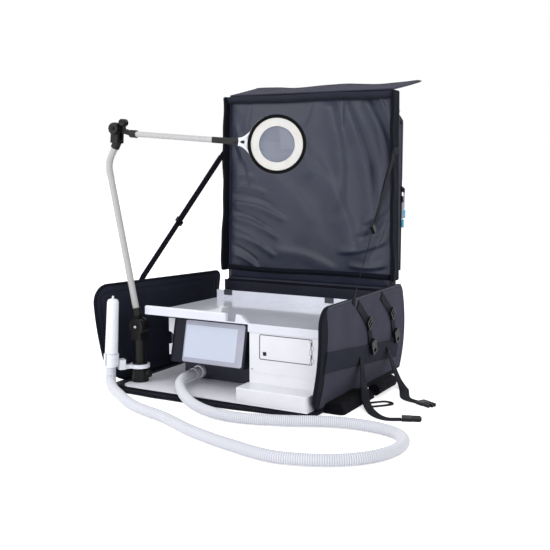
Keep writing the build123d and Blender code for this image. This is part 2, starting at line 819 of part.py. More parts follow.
with BuildPart() as front_plinth:
    with BuildSketch(Plane.XY.offset(BASE_TOP)) as plinth_outline:
        polygon(
            (PLINTH_X0, -HALF_D + BASE_SETBACK),
            (CABINET_X1, -HALF_D + BASE_SETBACK),
            (CABINET_X1, MACHINE_Y - SEAT),
            (PLINTH_X0, MACHINE_Y - SEAT),
        )
        fillet(plinth_outline.vertices().group_by(Axis.Y)[0], PLINTH_CORNER_R)
    extrude(amount=PLINTH_H)
    fillet(front_plinth.faces().sort_by(Axis.Z)[-1].edges().sort_by(Axis.Y)[0], PLINTH_SHELL)
    with BuildSketch(Plane.XY.offset(BASE_TOP)):
        add(plinth_outline.sketch)
        offset(amount=-PLINTH_SHELL, mode=Mode.REPLACE)
    extrude(amount=PLINTH_H - PLINTH_SHELL, mode=Mode.SUBTRACT)
front_plinth.part.label = "front_plinth"
export_step(front_plinth.part, "parts/front_plinth.step")

RECESS_Y = MACHINE_Y + DOOR_T + SEAT


def block(x_range, y_range, z_range, mode=Mode.ADD):
    """Adds or cuts a straight-sided block between three pairs of limits."""
    with Locations((sum(x_range) / 2, sum(y_range) / 2, sum(z_range) / 2)):
        Box(x_range[1] - x_range[0], y_range[1] - y_range[0], z_range[1] - z_range[0], mode=mode)


with BuildPart() as cabinet_shell:
    block((CABINET_X0, CABINET_X1), (MACHINE_Y, MACHINE_REAR_Y), (BASE_TOP, MACHINE_TOP_Z))
    block(
        (CABINET_X0 + SHEET_T, CABINET_X1 - SHEET_T),
        (MACHINE_Y + SHEET_T, MACHINE_REAR_Y - SHEET_T),
        (BASE_TOP, MACHINE_TOP_Z - SHEET_T),
        Mode.SUBTRACT,
    )
    block(
        (DOOR_X0 - DOOR_GAP - SHEET_T, DOOR_X1 + DOOR_GAP + SHEET_T),
        (MACHINE_Y, MACHINE_Y + COMPARTMENT_DEPTH + SHEET_T),
        (DOOR_Z0 - DOOR_GAP - SHEET_T, DOOR_Z1 + DOOR_GAP + SHEET_T),
    )
    block(
        (DOOR_X0 - DOOR_GAP, DOOR_X1 + DOOR_GAP),
        (MACHINE_Y, RECESS_Y),
        (DOOR_Z0 - DOOR_GAP, DOOR_Z1 + DOOR_GAP),
        Mode.SUBTRACT,
    )
    block(
        (DOOR_X0 + COMPARTMENT_RIM, DOOR_X1 - COMPARTMENT_RIM),
        (MACHINE_Y, MACHINE_Y + COMPARTMENT_DEPTH),
        (DOOR_Z0 + COMPARTMENT_RIM, DOOR_Z1 - COMPARTMENT_RIM),
        Mode.SUBTRACT,
    )
    block(
        (CABINET_X0 + SEAM_INSET, CABINET_X1),
        (MACHINE_Y, MACHINE_Y + CABINET_PANEL_DROP),
        (SEAM_Z, SEAM_Z + SEAM_H),
        Mode.SUBTRACT,
    )
cabinet_shell.part.label = "cabinet_shell"
export_step(cabinet_shell.part, "parts/cabinet_shell.step")

with BuildPart() as filter_bag:
    bag_inset = COMPARTMENT_RIM + BAG_MARGIN
    with BuildSketch(Plane.XY.offset(DOOR_Z0 + COMPARTMENT_RIM + SEAT)):
        with Locations(((DOOR_X0 + DOOR_X1) / 2, MACHINE_Y + COMPARTMENT_DEPTH / 2 + BAG_MARGIN / 2)):
            RectangleRounded(DOOR_W - 2 * bag_inset, COMPARTMENT_DEPTH - 2 * BAG_MARGIN, BAG_MARGIN)
    extrude(amount=BAG_H)
    fillet(filter_bag.faces().sort_by(Axis.Z)[-1].edges(), BAG_MARGIN * 0.7)
filter_bag.part.label = "filter_bag"
export_step(filter_bag.part, "parts/filter_bag.step")

# Door with its hinges and latch

HINGE_X = DOOR_X1 + DOOR_GAP + HINGE_BARREL_R
HINGE_FRONT_Y = MACHINE_Y - HINGE_BARREL_R - SEAT
HINGE_ZS = (DOOR_Z0 + HINGE_INSET, DOOR_Z1 - HINGE_INSET)
LATCH_X = DOOR_X0 + COMPARTMENT_RIM + LATCH_SIZE
LATCH_Z = DOOR_Z0 + COMPARTMENT_RIM + LATCH_SIZE

with BuildPart() as door_panel:
    block((DOOR_X0, DOOR_X1), (MACHINE_Y, MACHINE_Y + DOOR_T), (DOOR_Z0, DOOR_Z1))
    fillet(door_panel.edges().filter_by(Axis.Y), DOOR_GAP)
    block(
        (LATCH_X - LATCH_SIZE / 2 - SEAT, LATCH_X + LATCH_SIZE / 2 + SEAT),
        (MACHINE_Y, MACHINE_Y + DOOR_T),
        (LATCH_Z - LATCH_SIZE / 2 - SEAT, LATCH_Z + LATCH_SIZE / 2 + SEAT),
        Mode.SUBTRACT,
    )
    for hinge_z in HINGE_ZS:
        block(
            (DOOR_X1 - HINGE_LEAF_W, HINGE_X),
            (MACHINE_Y - HINGE_LEAF_T, MACHINE_Y),
            (hinge_z + SEAT / 2, hinge_z + HINGE_BARREL_L),
        )
        with BuildSketch(Plane.XY.offset(hinge_z + SEAT / 2)):
            with Locations((HINGE_X, HINGE_FRONT_Y)):
                Circle(HINGE_BARREL_R)
        extrude(amount=HINGE_BARREL_L - SEAT / 2)
        with BuildSketch(Plane.XY.offset(hinge_z)):
            with Locations((HINGE_X, HINGE_FRONT_Y)):
                Circle(HINGE_PIN_R + PIN_FIT)
        extrude(amount=HINGE_BARREL_L, mode=Mode.SUBTRACT)
door_panel.part.label = "door_panel"
export_step(door_panel.part, "parts/door_panel.step")

with BuildPart() as door_hinges:
    for hinge_z in HINGE_ZS:
        low_z = hinge_z - HINGE_BARREL_L
        block(
            (HINGE_X, HINGE_X + HINGE_LEAF_W),
            (MACHINE_Y - HINGE_LEAF_T, MACHINE_Y),
            (low_z, hinge_z - SEAT / 2),
        )
        with BuildSketch(Plane.XY.offset(low_z)):
            with Locations((HINGE_X, HINGE_FRONT_Y)):
                Circle(HINGE_BARREL_R)
        extrude(amount=HINGE_BARREL_L - SEAT / 2)
        with BuildSketch(Plane.XY.offset(low_z)):
            with Locations((HINGE_X, HINGE_FRONT_Y)):
                Circle(HINGE_PIN_R)
        extrude(amount=2 * HINGE_BARREL_L)
door_hinges.part.label = "door_hinges"
export_step(door_hinges.part, "parts/door_hinges.step")

with BuildPart() as latch_button:
    block(
        (LATCH_X - LATCH_SIZE / 2, LATCH_X + LATCH_SIZE / 2),
        (MACHINE_Y - LATCH_PROUD, MACHINE_Y + DOOR_T + SEAT),
        (LATCH_Z - LATCH_SIZE / 2, LATCH_Z + LATCH_SIZE / 2),
    )
    fillet(latch_button.faces().sort_by(Axis.Y)[0].edges(), LATCH_PROUD / 2)
    block(
        (LATCH_X - LATCH_SIZE / 2 - LATCH_RIM, LATCH_X + LATCH_SIZE / 2 + LATCH_RIM),
        (MACHINE_Y + DOOR_T + SEAT, MACHINE_Y + DOOR_T + SEAT + LATCH_RIM),
        (LATCH_Z - LATCH_SIZE / 2 - LATCH_RIM, LATCH_Z + LATCH_SIZE / 2 + LATCH_RIM),
    )
latch_button.part.label = "latch_button"
export_step(latch_button.part, "parts/latch_button.step")

# Housing behind the screen, with what it holds

HOUSING_END_X = CABINET_X0 - SEAT


def housing_profile(inset):
    """Side outline of the housing, whose upper part overhangs the hose port, drawn inset."""
    foot = BASE_TOP if inset == 0 else BASE_TOP - SHEET_T
    polygon(
        (HOUSING_LOW_Y + inset, foot),
        (MACHINE_REAR_Y - inset, foot),
        (MACHINE_REAR_Y - inset, MACHINE_TOP_Z - inset),
        (HOUSING_HIGH_Y + inset, MACHINE_TOP_Z - inset),
        (HOUSING_HIGH_Y + inset, HOUSING_STEP_Z + inset),
        (HOUSING_LOW_Y + inset, HOUSING_STEP_Z + inset),
    )


with BuildPart() as main_housing:
    with BuildSketch(Plane.YZ.offset(HOUSING_X0)):
        housing_profile(0)
    extrude(amount=HOUSING_END_X - HOUSING_X0)
    with BuildSketch(Plane.YZ.offset(HOUSING_X0 + SHEET_T)):
        housing_profile(SHEET_T)
    extrude(amount=HOUSING_END_X - HOUSING_X0 - 2 * SHEET_T, mode=Mode.SUBTRACT)
    with BuildSketch(Plane.XZ.offset(-MACHINE_REAR_Y)):
        with Locations(((HOUSING_X0 + HOUSING_END_X) / 2, (BASE_TOP + MACHINE_TOP_Z) / 2)):
            with GridLocations(VENT_L * 1.2, VENT_PITCH, 2, VENT_ROWS):
                SlotOverall(VENT_L, VENT_H)
    extrude(amount=SHEET_T, mode=Mode.SUBTRACT)
    with BuildSketch(Plane.XZ.offset(-HOUSING_LOW_Y - SHEET_T)):
        with Locations((PORT_X, PORT_Z)):
            Circle(SPOUT_R + SEAT)
    extrude(amount=SHEET_T, mode=Mode.SUBTRACT)
main_housing.part.label = "main_housing"
export_step(main_housing.part, "parts/main_housing.step")

with BuildPart() as suction_motor:
    with BuildSketch(Plane.XY.offset(BASE_TOP)):
        with Locations(MOTOR_AT):
            Circle(MOTOR_R)
    extrude(amount=MOTOR_H)
    with BuildSketch(Plane.XY.offset(BASE_TOP + MOTOR_H)):
        with Locations(MOTOR_AT):
            Circle(MOTOR_R * 0.62)
    extrude(amount=MOTOR_H * 0.4, taper=8)
    with BuildSketch(Plane.XY.offset(BASE_TOP)):
        with Locations(MOTOR_AT):
            Circle(MOTOR_R * 1.12)
    extrude(amount=SHEET_T)
suction_motor.part.label = "suction_motor"
export_step(suction_motor.part, "parts/suction_motor.step")

with BuildPart() as control_board:
    block(BOARD_XS, BOARD_YS, (BASE_TOP, BASE_TOP + BOARD_H))
    with BuildSketch(Plane.XZ.offset(-BOARD_YS[0])):
        with Locations((sum(BOARD_XS) / 2, BASE_TOP + BOARD_H / 2)):
            with GridLocations(BOARD_H / 5, BOARD_H / 3, 3, 2):
                Rectangle(BOARD_H / 7, BOARD_H / 6)
    extrude(amount=BOARD_CHIP_T)
control_board.part.label = "control_board"
export_step(control_board.part, "parts/control_board.step")

with BuildPart() as power_supply:
    block(SUPPLY_XS, SUPPLY_YS, (BASE_TOP, BASE_TOP + SUPPLY_H))
    chamfer(power_supply.faces().sort_by(Axis.Z)[-1].edges(), SHEET_T)
power_supply.part.label = "power_supply"
export_step(power_supply.part, "parts/power_supply.step")

# Screen

SLOPE_L = hypot(SCREEN_HEAD_Y - SCREEN_FOOT_Y, SCREEN_Z1 - SCREEN_Z0)
SCREEN_BACK_Y = HOUSING_HIGH_Y - SEAT
screen_face = Plane(
    origin=(0, SCREEN_FOOT_Y, SCREEN_Z0),
    x_dir=(1, 0, 0),
    z_dir=(0, SCREEN_Z0 - SCREEN_Z1, SCREEN_HEAD_Y - SCREEN_FOOT_Y),
)
GLASS_X = SCREEN_X1 - GLASS_RIGHT_MARGIN - GLASS_W / 2
DISPLAY_X = GLASS_X - GLASS_W / 2 + DISPLAY_LEFT_MARGIN + DISPLAY_W / 2
GLASS_SINK = GLASS_T - GLASS_PROUD

with BuildPart() as screen_housing:
    with BuildSketch(Plane.YZ.offset(SCREEN_X0)):
        polygon(
            (SCREEN_FOOT_Y, SCREEN_Z0),
            (SCREEN_BACK_Y, SCREEN_Z0),
            (SCREEN_BACK_Y, SCREEN_Z1),
            (SCREEN_HEAD_Y, SCREEN_Z1),
        )
    extrude(amount=SCREEN_X1 - SCREEN_X0)
    left_front = screen_housing.faces().sort_by(Axis.X)[0].edges().sort_by(Axis.Y)[0]
    fillet(left_front, SCREEN_EDGE_R)
    with BuildSketch(screen_face):
        with Locations((GLASS_X, SLOPE_L / 2)):
            RectangleRounded(GLASS_W + 2 * SEAT, GLASS_H + 2 * SEAT, GLASS_R)
    extrude(amount=-GLASS_SINK, mode=Mode.SUBTRACT)
    with BuildSketch(screen_face):
        with Locations((DISPLAY_X, SLOPE_L / 2)):
            Rectangle(DISPLAY_W + 2 * SEAT, DISPLAY_H + 2 * SEAT)
    extrude(amount=-GLASS_SINK - DISPLAY_T - SEAT, mode=Mode.SUBTRACT)
screen_housing.part.label = "screen_housing"
export_step(screen_housing.part, "parts/screen_housing.step")

with BuildPart() as screen_glass:
    with BuildSketch(screen_face.offset(GLASS_PROUD)):
        with Locations((GLASS_X, SLOPE_L / 2)):
            RectangleRounded(GLASS_W, GLASS_H, GLASS_R - SEAT)
    extrude(amount=-GLASS_T)
    chamfer(screen_glass.faces().sort_by(Axis.Y)[0].edges(), GLASS_PROUD / 2)
screen_glass.part.label = "screen_glass"
export_step(screen_glass.part, "parts/screen_glass.step")

with BuildPart() as display_panel:
    with BuildSketch(screen_face.offset(-GLASS_SINK - SEAT / 2)):
        with Locations((DISPLAY_X, SLOPE_L / 2)):
            Rectangle(DISPLAY_W, DISPLAY_H)
    extrude(amount=-DISPLAY_T)
display_panel.part.label = "display_panel"
export_step(display_panel.part, "parts/display_panel.step")

with BuildPart() as screen_bracket:
    with BuildSketch(Plane.XZ.offset(-SCREEN_BACK_Y)):
        with Locations((SCREEN_X0 - SEAT - BRACKET_W / 2, (SCREEN_Z0 + SCREEN_Z1) / 2)):
            Rectangle(BRACKET_W, SCREEN_Z1 - SCREEN_Z0 - SCREEN_EDGE_R)
        with Locations((SCREEN_X0 - SEAT - BRACKET_W, SCREEN_Z0 + BRACKET_NOTCH_Z)):
            Circle(BRACKET_NOTCH_R, mode=Mode.SUBTRACT)
    extrude(amount=BRACKET_T)
screen_bracket.part.label = "screen_bracket"
export_step(screen_bracket.part, "parts/screen_bracket.step")

# Tray on top

TRAY_Y0 = MACHINE_Y - APRON_T - SEAT
TRAY_X1 = CABINET_X1 + APRON_T

with BuildPart() as worktop_tray:
    with BuildSketch(Plane.XY.offset(MACHINE_TOP_Z)):
        polygon(
            (TRAY_X0, TRAY_Y0 + TRAY_LIP_T / 2),
            (TRAY_X0 + TRAY_LIP_T / 2, TRAY_Y0),
            (TRAY_X1, TRAY_Y0),
            (TRAY_X1, TRAY_REAR_Y),
            (TRAY_REAR_X0, TRAY_REAR_Y),
        )
    extrude(amount=TRAY_T)
    block(
        (TRAY_X0 + TRAY_LIP_T / 2, TRAY_LIP_X1),
        (TRAY_Y0, TRAY_Y0 + TRAY_LIP_T),
        (TRAY_TOP, TRAY_TOP + TRAY_FRONT_LIP_H),
    )
    lip_top = worktop_tray.faces().sort_by(Axis.Z)[-1]
    fillet(lip_top.edges(), TRAY_LIP_T * 0.4)
    with BuildSketch(Plane.XZ.offset(-TRAY_Y0)):
        polygon(
            (TRAY_LIP_X1 + NOTCH_W, TRAY_TOP),
            (TRAY_LIP_X1 + NOTCH_W + 3, TRAY_TOP + TRAY_FRONT_LIP_H),
            (TRAY_LIP_X1 + NOTCH_W + BUMP_W * 0.7, TRAY_TOP + TRAY_FRONT_LIP_H * 0.9),
            (TRAY_LIP_X1 + NOTCH_W + BUMP_W * 1.6, TRAY_TOP),
        )
    extrude(amount=-TRAY_LIP_T)
    block((APRON_X0, TRAY_X1), (TRAY_Y0, TRAY_Y0 + APRON_T), (TRAY_TOP - APRON_H, MACHINE_TOP_Z))
    block((TRAY_REAR_X0, TRAY_X1), (TRAY_REAR_Y - RAIL_T, TRAY_REAR_Y), (TRAY_TOP, TRAY_TOP + RAIL_H))
    for clip_x in CLIP_XS:
        block(
            (clip_x - CLIP_W / 2 - SEAT, clip_x + CLIP_W / 2 + SEAT),
            (TRAY_REAR_Y - RAIL_T, TRAY_REAR_Y),
            (TRAY_TOP + RAIL_H - CLIP_H / 2, TRAY_TOP + RAIL_H),
            Mode.SUBTRACT,
        )
worktop_tray.part.label = "worktop_tray"
export_step(worktop_tray.part, "parts/worktop_tray.step")

with BuildPart() as rail_clips:
    for clip_x in CLIP_XS:
        rail_y = TRAY_REAR_Y - RAIL_T / 2
        clip_seat = TRAY_TOP + RAIL_H - CLIP_H / 2 + SEAT
        block(
            (clip_x - CLIP_W / 2, clip_x + CLIP_W / 2),
            (rail_y - CLIP_T / 2, rail_y + CLIP_T / 2),
            (clip_seat - CLIP_H / 2, clip_seat + CLIP_H / 2),
        )
        block(
            (clip_x - CLIP_W / 2, clip_x + CLIP_W / 2),
            (rail_y - RAIL_T / 2 - SEAT, rail_y + RAIL_T / 2 + SEAT),
            (clip_seat - CLIP_H / 2, clip_seat),
            Mode.SUBTRACT,
        )
rail_clips.part.label = "rail_clips"
export_step(rail_clips.part, "parts/rail_clips.step")

# Hose port, cuffs and hose

PORT_FACE_Y = HOUSING_LOW_Y - SEAT
PORT_END_Y = PORT_FACE_Y - PORT_PROUD

with BuildPart() as hose_port:
    with BuildSketch(Plane.XZ.offset(-PORT_FACE_Y)):
        with Locations((PORT_X, PORT_Z)):
            Circle(PORT_R)
    extrude(amount=PORT_PROUD)
    fillet(hose_port.faces().sort_by(Axis.Y)[0].edges(), PORT_PROUD / 5)
    with BuildSketch(Plane.XZ.offset(-PORT_FACE_Y)):
        with Locations((PORT_X, PORT_Z)):
            Circle(SPOUT_R)
    extrude(amount=-SPOUT_L)
    with BuildSketch(Plane.XZ.offset(-PORT_FACE_Y - PORT_PROUD)):
        with Locations((PORT_X, PORT_Z)):
            Circle(HOSE_BORE_R)
    extrude(amount=-SPOUT_L - PORT_PROUD, mode=Mode.SUBTRACT)
hose_port.part.label = "hose_port"
export_step(hose_port.part, "parts/hose_port.step")

hand_axis = Vector(sin(radians(HAND_LEAN)), 0, cos(radians(HAND_LEAN)))
hand_plane = Plane(origin=(HAND_X, HAND_Y, HAND_FOOT_Z), x_dir=(0, 1, 0), z_dir=hand_axis)
CUP_TOP = CUP_H - CUP_DROP
SLEEVE_FOOT = -CUP_DROP - SLEEVE_BELOW

with BuildPart() as hose_cuffs:
    with BuildSketch(Plane.XZ.offset(-PORT_END_Y + SEAT)):
        with Locations((PORT_X, PORT_Z)):
            Circle(CUFF_R)
            Circle(HOSE_BORE_R, mode=Mode.SUBTRACT)
    extrude(amount=CUFF_L)
    with BuildSketch(hand_plane.offset(SLEEVE_FOOT)):
        Circle(SLEEVE_R)
        Circle(HOSE_BORE_R, mode=Mode.SUBTRACT)
    extrude(amount=CUP_TOP - SLEEVE_FOOT)
hose_cuffs.part.label = "hose_cuffs"
export_step(hose_cuffs.part, "parts/hose_cuffs.step")

hose_start = hand_plane.from_local_coords(Vector(0, 0, SLEEVE_FOOT))
hose_below = hand_plane.from_local_coords(Vector(0, 0, SLEEVE_FOOT - 2 * HOSE_R))
hose_end = Vector(PORT_X, PORT_END_Y - SEAT - CUFF_L, PORT_Z)

HOSE_ROUTE = (
    tuple(hose_start),
    tuple(hose_below),
    (-274, -304, 18),
    (-244, -330, 14),
    (-198, -363, 14),
    (-148, -402, 14),
    (-99, -431, 14),
    (-50, -450, 14),
    (3, -466, 14),
    (56, -491, 14),
    (114, -522, 14),
    (173, -544, 14),
    (225, -561, 14),
    (273, -573, 14),
    (320, -586, 14),
    (367, -592, 14),
    (418, -581, 14),
    (470, -560, 14),
    (511, -531, 14),
    (541, -497, 14),
    (560, -456, 14),
    (567, -413, 14),
    (560, -371, 14),
    (538, -338, 14),
    (504, -318, 14),
    (461, -309, 14),
    (413, -309, 14),
    (370, -318, 14),
    (329, -335, 14),
    (290, -356, 14),
    (247, -372, 14),
    (203, -387, 14),
    (155, -395, 14),
    (108, -394, 15),
    (64, -384, 17),
    (18, -362, 20),
    (-28, -327, 24),
    (-72, -281, 28),
    (-104, -236, 30),
    (-120, -192, 32),
    tuple(hose_end),
)


def corner_radii(route):
    """Largest radius for each corner of a route that its two runs leave room for."""
    radii = []
    for before, corner, after in zip(route, route[1:], route[2:]):
        into = Vector(*corner) - Vector(*before)
        out = Vector(*after) - Vector(*corner)
        half_turn = radians(into.get_angle(out)) / 2
        radii.append(0.45 * min(into.length, out.length) / tan(half_turn))
    return radii


hose_radii = corner_radii(HOSE_ROUTE)
with BuildLine() as hose_line:
    FilletPolyline(*HOSE_ROUTE, radius=hose_radii)
hose_wire = hose_line.wires()[0]
print("hose length", round(hose_wire.length), "radii", [round(radius) for radius in hose_radii])


def hose_circles(stations):
    """Gives one circle for each distance and radius, square to the hose's line."""
    circles = []
    sideways = Vector(1, 0, 0)
    for distance, radius in stations:
        share = distance / hose_wire.length
        heading = hose_wire.tangent_at(share)
        sideways = (sideways - heading * sideways.dot(heading)).normalized()
        station = Plane(origin=hose_wire.position_at(share), x_dir=sideways, z_dir=heading)
        with BuildSketch(station) as ring:
            Circle(radius)
        circles.append(ring.sketch)
    return circles


rib_pitch = (hose_wire.length - 4 * HOSE_R) / RIB_COUNT
rib_stations = [(0.0, HOSE_R)]
bore_stations = [(0.0, HOSE_BORE_R)]
for rib in range(RIB_COUNT):
    rib_start = 2 * HOSE_R + rib * rib_pitch
    rib_stations.append((rib_start, HOSE_R))
    rib_stations.append((rib_start + rib_pitch * RIB_SLOPE, HOSE_GROOVE_R))
    rib_stations.append((rib_start + rib_pitch * (RIB_GROOVE - RIB_SLOPE), HOSE_GROOVE_R))
    rib_stations.append((rib_start + rib_pitch * RIB_GROOVE, HOSE_R))
    bore_stations.append((rib_start, HOSE_BORE_R))
rib_stations.append((hose_wire.length, HOSE_R))
bore_stations.append((hose_wire.length, HOSE_BORE_R))

with BuildPart() as hose_bore:
    loft(hose_circles(bore_stations), ruled=True)

with BuildPart() as hose:
    loft(hose_circles(rib_stations), ruled=True)
    add(hose_bore.part, mode=Mode.SUBTRACT)
hose.part.label = "hose"
export_step(hose.part, "parts/hose.step")

# Lamp base, bracket and handpiece holder

RING_Z = LAMP_BASE_TOP + SEAT
POST_FOOT_Z = RING_Z + BRACKET_RING_T + SEAT
lamp_foot = (LAMP_X, LAMP_Y)

with BuildPart() as lamp_base:
    with BuildSketch(Plane.XY.offset(BASE_TOP)):
        with Locations(lamp_foot):
            Circle(LAMP_BASE_R)
    extrude(amount=LAMP_BASE_TOP - BASE_TOP)
    chamfer(lamp_base.edges().sort_by(Axis.Z)[-1], KNOB_STUD_R)
    with BuildSketch(Plane.XY.offset(LAMP_BASE_TOP)):
        with Locations(lamp_foot):
            Circle(SPIGOT_R)
    extrude(amount=SPIGOT_TOP - LAMP_BASE_TOP)
    with BuildSketch(Plane.YZ.offset(LAMP_X + LAMP_BASE_R - KNOB_STUD_L)):
        with Locations((LAMP_Y, KNOB_Z)):
            Circle(KNOB_STUD_R + PIN_FIT)
    extrude(amount=KNOB_STUD_L, mode=Mode.SUBTRACT)
lamp_base.part.label = "lamp_base"
export_step(lamp_base.part, "parts/lamp_base.step")

with BuildPart() as clamp_knob:
    knob_x0 = LAMP_X + LAMP_BASE_R + SEAT
    with BuildSketch(Plane.YZ.offset(knob_x0)):
        with Locations((LAMP_Y, KNOB_Z)):
            Circle(KNOB_R * 0.82)
            with PolarLocations(KNOB_R * 0.72, KNOB_LOBES):
                Circle(KNOB_R * 0.28)
    extrude(amount=KNOB_L)
    with BuildSketch(Plane.YZ.offset(knob_x0)):
        with Locations((LAMP_Y, KNOB_Z)):
            Circle(KNOB_STUD_R)
    extrude(amount=SEAT - KNOB_STUD_L)
clamp_knob.part.label = "clamp_knob"
export_step(clamp_knob.part, "parts/clamp_knob.step")

arm_run = Vector(HAND_X - LAMP_X, HAND_Y - LAMP_Y, 0)
arm_turn = degrees(atan2(arm_run.Y, arm_run.X))

with BuildPart() as handpiece_bracket:
    with BuildSketch(Plane.XY.offset(RING_Z)):
        with Locations(lamp_foot):
            Circle(BRACKET_RING_R)
        with Locations(Location((LAMP_X + arm_run.X / 2, LAMP_Y + arm_run.Y / 2), arm_turn)):
            Rectangle(arm_run.length, BRACKET_ARM_W)
        with Locations(lamp_foot):
            Circle(SPIGOT_R + SEAT, mode=Mode.SUBTRACT)
    extrude(amount=BRACKET_RING_T)
    with BuildSketch(Plane.XY.offset(RING_Z)):
        with Locations(Location((HAND_X - arm_run.X * LUG_SHARE, HAND_Y - arm_run.Y * LUG_SHARE), arm_turn)):
            RectangleRounded(LUG_W, LUG_W * 1.4, LUG_W / 6)
    extrude(amount=LUG_H)
    with BuildSketch(hand_plane.offset(-CUP_H)):
        Circle(CUP_R + SEAT)
    extrude(amount=3 * CUP_H, mode=Mode.SUBTRACT)

with BuildPart() as holder_cup:
    with BuildSketch(hand_plane.offset(-CUP_DROP)):
        Circle(CUP_R)
        Circle(CUP_BORE_R, mode=Mode.SUBTRACT)
        with Locations((-CUP_R, 0)):
            Rectangle(CUP_R, CUP_SLIT_W, mode=Mode.SUBTRACT)
    extrude(amount=CUP_H)
    with BuildSketch(hand_plane.offset(CUP_TOP - CUP_H * 0.4)):
        Circle(CUP_R)
        Circle(CUP_R - CUP_GROOVE, mode=Mode.SUBTRACT)
    extrude(amount=CUP_GROOVE, mode=Mode.SUBTRACT)

with BuildPart() as handpiece_holder:
    add(handpiece_bracket.part)
    add(holder_cup.part)
handpiece_holder.part.label = "handpiece_holder"
export_step(handpiece_holder.part, "parts/handpiece_holder.step")

hand_top = CUP_TOP + SEAT + HAND_BODY_L

with BuildPart() as handpiece_body:
    hand_foot = CUP_TOP + SEAT
    for height, radius in (
        (hand_foot, SLEEVE_R),
        (hand_foot + HAND_EDGE, HAND_LOW_R),
        (hand_top - 3 * HAND_EDGE, HAND_TOP_R),
        (hand_top - HAND_EDGE, HAND_TOP_R * 0.86),
        (hand_top, COLLET_R * 2),
    ):
        with BuildSketch(hand_plane.offset(height)):
            Circle(radius)
    loft(ruled=True)
handpiece_body.part.label = "handpiece_body"
export_step(handpiece_body.part, "parts/handpiece_body.step")

with BuildPart() as handpiece_collet:
    with BuildSketch(hand_plane.offset(hand_top)):
        Circle(COLLET_R)
    extrude(amount=COLLET_L)
    chamfer(handpiece_collet.faces().sort_by(Axis.Z)[-1].edges(), COLLET_R / 3)
    with BuildSketch(hand_plane.offset(hand_top + COLLET_L)):
        Circle(SHANK_R)
    extrude(amount=-COLLET_L, mode=Mode.SUBTRACT)
handpiece_collet.part.label = "handpiece_collet"
export_step(handpiece_collet.part, "parts/handpiece_collet.step")

# Lamp post with its knuckle, and the lower arm

lamp_side = Plane.XZ.offset(-LAMP_Y)
knuckle_at = (LAMP_X, KNUCKLE_Z)
TONGUE_R = KNUCKLE_R - TONGUE_STEP

with BuildPart() as lamp_post:
    with BuildSketch(Plane.XY.offset(POST_FOOT_Z)):
        with Locations(lamp_foot):
            Circle(POST_R)
    extrude(amount=POST_TOP - POST_FOOT_Z)
    with BuildSketch(Plane.XY.offset(POST_FOOT_Z)):
        with Locations(lamp_foot):
            Circle(POST_FLANGE_R)
    extrude(amount=POST_FLANGE_T)
    with BuildSketch(lamp_side):
        polygon(
            (LAMP_X - POST_R, POST_TOP - POST_FLANGE_T),
            (LAMP_X + POST_R, POST_TOP - POST_FLANGE_T),
            (LAMP_X + POST_R, KNUCKLE_Z),
            (LAMP_X - POST_R, KNUCKLE_Z),
        )
        with Locations(knuckle_at):
            Circle(KNUCKLE_R)
    extrude(amount=KNUCKLE_HALF, both=True)
    with BuildSketch(lamp_side):
        with Locations(knuckle_at):
            Circle(TONGUE_R + KNUCKLE_GAP)
        with Locations((LAMP_X, KNUCKLE_Z + KNUCKLE_R / 2)):
            Rectangle(2 * KNUCKLE_R + TONGUE_STEP, KNUCKLE_R + TONGUE_STEP)
    extrude(amount=TONGUE_HALF + KNUCKLE_GAP, both=True, mode=Mode.SUBTRACT)
    with BuildSketch(lamp_side):
        with Locations(knuckle_at):
            Circle(TILT_PIN_R + PIN_FIT)
    extrude(amount=KNUCKLE_HALF, both=True, mode=Mode.SUBTRACT)
    with BuildSketch(Plane.XY.offset(POST_FOOT_Z)):
        with Locations(lamp_foot):
            Circle(SPIGOT_R + PIN_FIT)
    extrude(amount=SPIGOT_TOP + SEAT - POST_FOOT_Z, mode=Mode.SUBTRACT)
lamp_post.part.label = "lamp_post"
export_step(lamp_post.part, "parts/lamp_post.step")


def pivot_pin(at, half):
    """Pivot pin square to the arms' plane with a round head on each side."""
    with BuildPart() as pin:
        with BuildSketch(lamp_side):
            with Locations(at):
                Circle(TILT_PIN_R)
        extrude(amount=half + SEAT, both=True)
        for side in (-1, 1):
            with BuildSketch(lamp_side.offset(side * (half + SEAT))):
                with Locations(at):
                    Circle(PIN_HEAD_R)
            extrude(amount=side * PIN_HEAD_T)
            chamfer(pin.edges().sort_by(Axis.Y)[0 if side > 0 else -1], PIN_HEAD_T / 3)
    return pin


tilt_pin = pivot_pin(knuckle_at, KNUCKLE_HALF)
tilt_pin.part.label = "tilt_pin"
export_step(tilt_pin.part, "parts/tilt_pin.step")

elbow_at = (ELBOW_X, ELBOW_Z)
elbow_pin = pivot_pin(elbow_at, ELBOW_HALF)
elbow_pin.part.label = "elbow_pin"
export_step(elbow_pin.part, "parts/elbow_pin.step")


def in_space(point):
    """Point of the arms' plane, given by its X and Z, as a place in space."""
    return Vector(point[0], LAMP_Y, point[1])


foot_run = (in_space(ARM_BEND) - in_space(ARM_FOOT)).normalized()
head_run = (in_space(ARM_HEAD) - in_space(ARM_BEND)).normalized()
upper_run = Vector(cos(radians(UPPER_DROP)), 0, -sin(radians(UPPER_DROP)))
upright = Vector(sin(radians(UPPER_DROP)), 0, cos(radians(UPPER_DROP)))


def link_face(start, end, width):
    """Fills a bar of the given width between two points of the arms' plane."""
    run = Vector(end[0] - start[0], end[1] - start[1])
    side = Vector(-run.Y, run.X).normalized() * (width / 2)
    polygon(
        (start[0] + side.X, start[1] + side.Y),
        (end[0] + side.X, end[1] + side.Y),
        (end[0] - side.X, end[1] - side.Y),
        (start[0] - side.X, start[1] - side.Y),
    )


